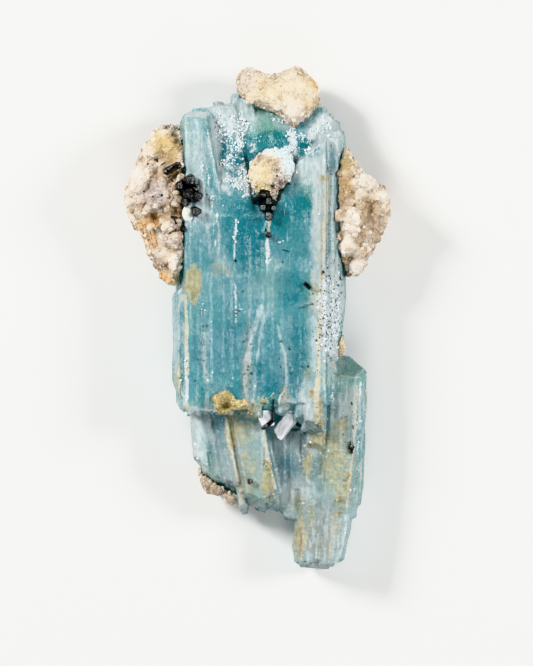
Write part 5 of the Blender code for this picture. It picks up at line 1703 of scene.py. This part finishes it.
def make_blades():
    finish = blade_finish()
    for node, (centre, size, turn, tilt) in BLADES.items():
        blade = dense_copy(node, node + "_plates", 0.12 * MM, hug=1.0)
        mesh = blade.data
        points = read_points(mesh) / MM
        normals = read_normals(mesh)
        if node == "blade_left":
            # The fan opens towards the upper left, over the edge of the bundle.
            widen = np.array([1.45, 1.1, 1.0])
            points = (points - [3.1, -21.6, 14.0]) * widen + [3.1, -21.7, 15.5]
        angle = math.radians(turn)
        across = math.cos(angle) * points[:, 0] + math.sin(angle) * points[:, 1]
        along = -math.sin(angle) * points[:, 0] + math.cos(angle) * points[:, 1]
        local = np.stack([across, along, points[:, 2]], axis=1)
        relief = 0.09 * soft_noise(local * np.array([2.2, 0.12, 2.2]), 21)
        relief += 0.05 * soft_noise(local * np.array([5.0, 0.3, 5.0]), 22)
        write_points(mesh, (points + normals * relief[:, None]) * MM)
        store_vector(mesh, "along", local * MM)
        mesh.shade_smooth()
        mesh.materials.clear()
        mesh.materials.append(finish)
        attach(blade, "root")
        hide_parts(node)


BEAD = ((-15.2, 22.9, 18.2), (1.3, 1.9, 1.7))


def make_bead():
    """The rounded quartz bead: a smooth, slightly uneven egg."""
    centre, radii = BEAD
    bm = bmesh.new()
    bmesh.ops.create_icosphere(bm, subdivisions=5, radius=1.0)
    mesh = bpy.data.meshes.new("quartz_bead_body")
    bm.to_mesh(mesh)
    bm.free()
    points = read_points(mesh)
    uneven = 1 + 0.07 * layered_noise(points * 1.3, 41, 2)
    write_points(mesh, (points * uneven[:, None] * np.array(radii) + np.array(centre)) * MM)
    mesh.shade_smooth()
    mesh.materials.append(quartz_finish())
    bead = placed("quartz_bead_body", mesh)
    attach(bead, "root")
    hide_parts("quartz_bead")


# ---------------------------------------------------------------- stage


LAMPS = [
    # Place in metres, width, power.
    ((-0.55, 0.34, 0.49), 0.22, 9.8),
    ((0.59, 0.13, 0.44), 0.20, 6.1),
    ((0.05, -0.60, 0.57), 0.45, 3.3),
]

# The camera looks straight down on a plane 12 mm up, where its view is 666 rows of 0.22 mm tall.
VIEW_TALL = 666 * 0.22 * MM
SENSOR_TALL = 24.0
CAMERA_HEIGHT = 1.0
CAMERA_PLACE = (0.00198, -0.00319, CAMERA_HEIGHT + 0.012)


def make_stage():
    """A pale floor just under the specimen, three soft lamps, a dim room and the camera."""
    reach = 2.0
    corners = [(-reach, -reach, 0), (reach, -reach, 0), (reach, reach, 0), (-reach, reach, 0)]
    floor_mesh = bpy.data.meshes.new("floor")
    floor_mesh.from_pydata(corners, [], [(0, 1, 2, 3)])
    floor = placed("floor", floor_mesh)
    floor.location.z = -0.2 * MM
    material, _, shader, _ = new_material("pale_floor")
    shader.inputs["Base Color"].default_value = sRGB(214, 214, 212)
    shader.inputs["Roughness"].default_value = 0.9
    floor_mesh.materials.append(material)
    world = bpy.data.worlds.new("studio")
    bpy.context.scene.world = world
    world.use_nodes = True
    room = world.node_tree.nodes["Background"]
    room.inputs["Color"].default_value = (0.95, 0.97, 1.0, 1.0)
    room.inputs["Strength"].default_value = 0.17
    for place, width, power in LAMPS:
        lamp = bpy.data.lights.new("soft_light", "AREA")
        lamp.size = width
        lamp.energy = power
        holder = placed("soft_light", lamp)
        holder.location = place
        holder.rotation_euler = Vector(place).to_track_quat("Z", "Y").to_euler()
    camera = placed("camera", bpy.data.cameras.new("camera"))
    camera.data.sensor_fit = "VERTICAL"
    camera.data.sensor_height = SENSOR_TALL
    camera.data.lens = SENSOR_TALL * CAMERA_HEIGHT / VIEW_TALL
    camera.location = CAMERA_PLACE
    bpy.context.scene.camera = camera
    bpy.context.scene.view_settings.view_transform = "Khronos PBR Neutral"


make_stage()
beryl, *beryl_skin = make_beryl()
feldspar = feldspar_finish()
masses = {node: make_feldspar(node, *MASSES[node], feldspar) for node in MASSES}
make_frost("frost_plates", *beryl_skin, 9000, 71)
knob_points = read_points(masses["feldspar_knob"].data) / MM
knob_normals = read_normals(masses["feldspar_knob"].data)
knob_frost = patches(knob_points, KNOB_FROST, 72)
make_frost("knob_frost_plates", knob_points, knob_normals, knob_frost, 600, 73)
make_crust(*beryl_skin[:2])
schorl = make_schorl()
make_needles(schorl, [beryl, masses["feldspar_left"], masses["feldspar_knob"]])
make_blades()
make_bead()
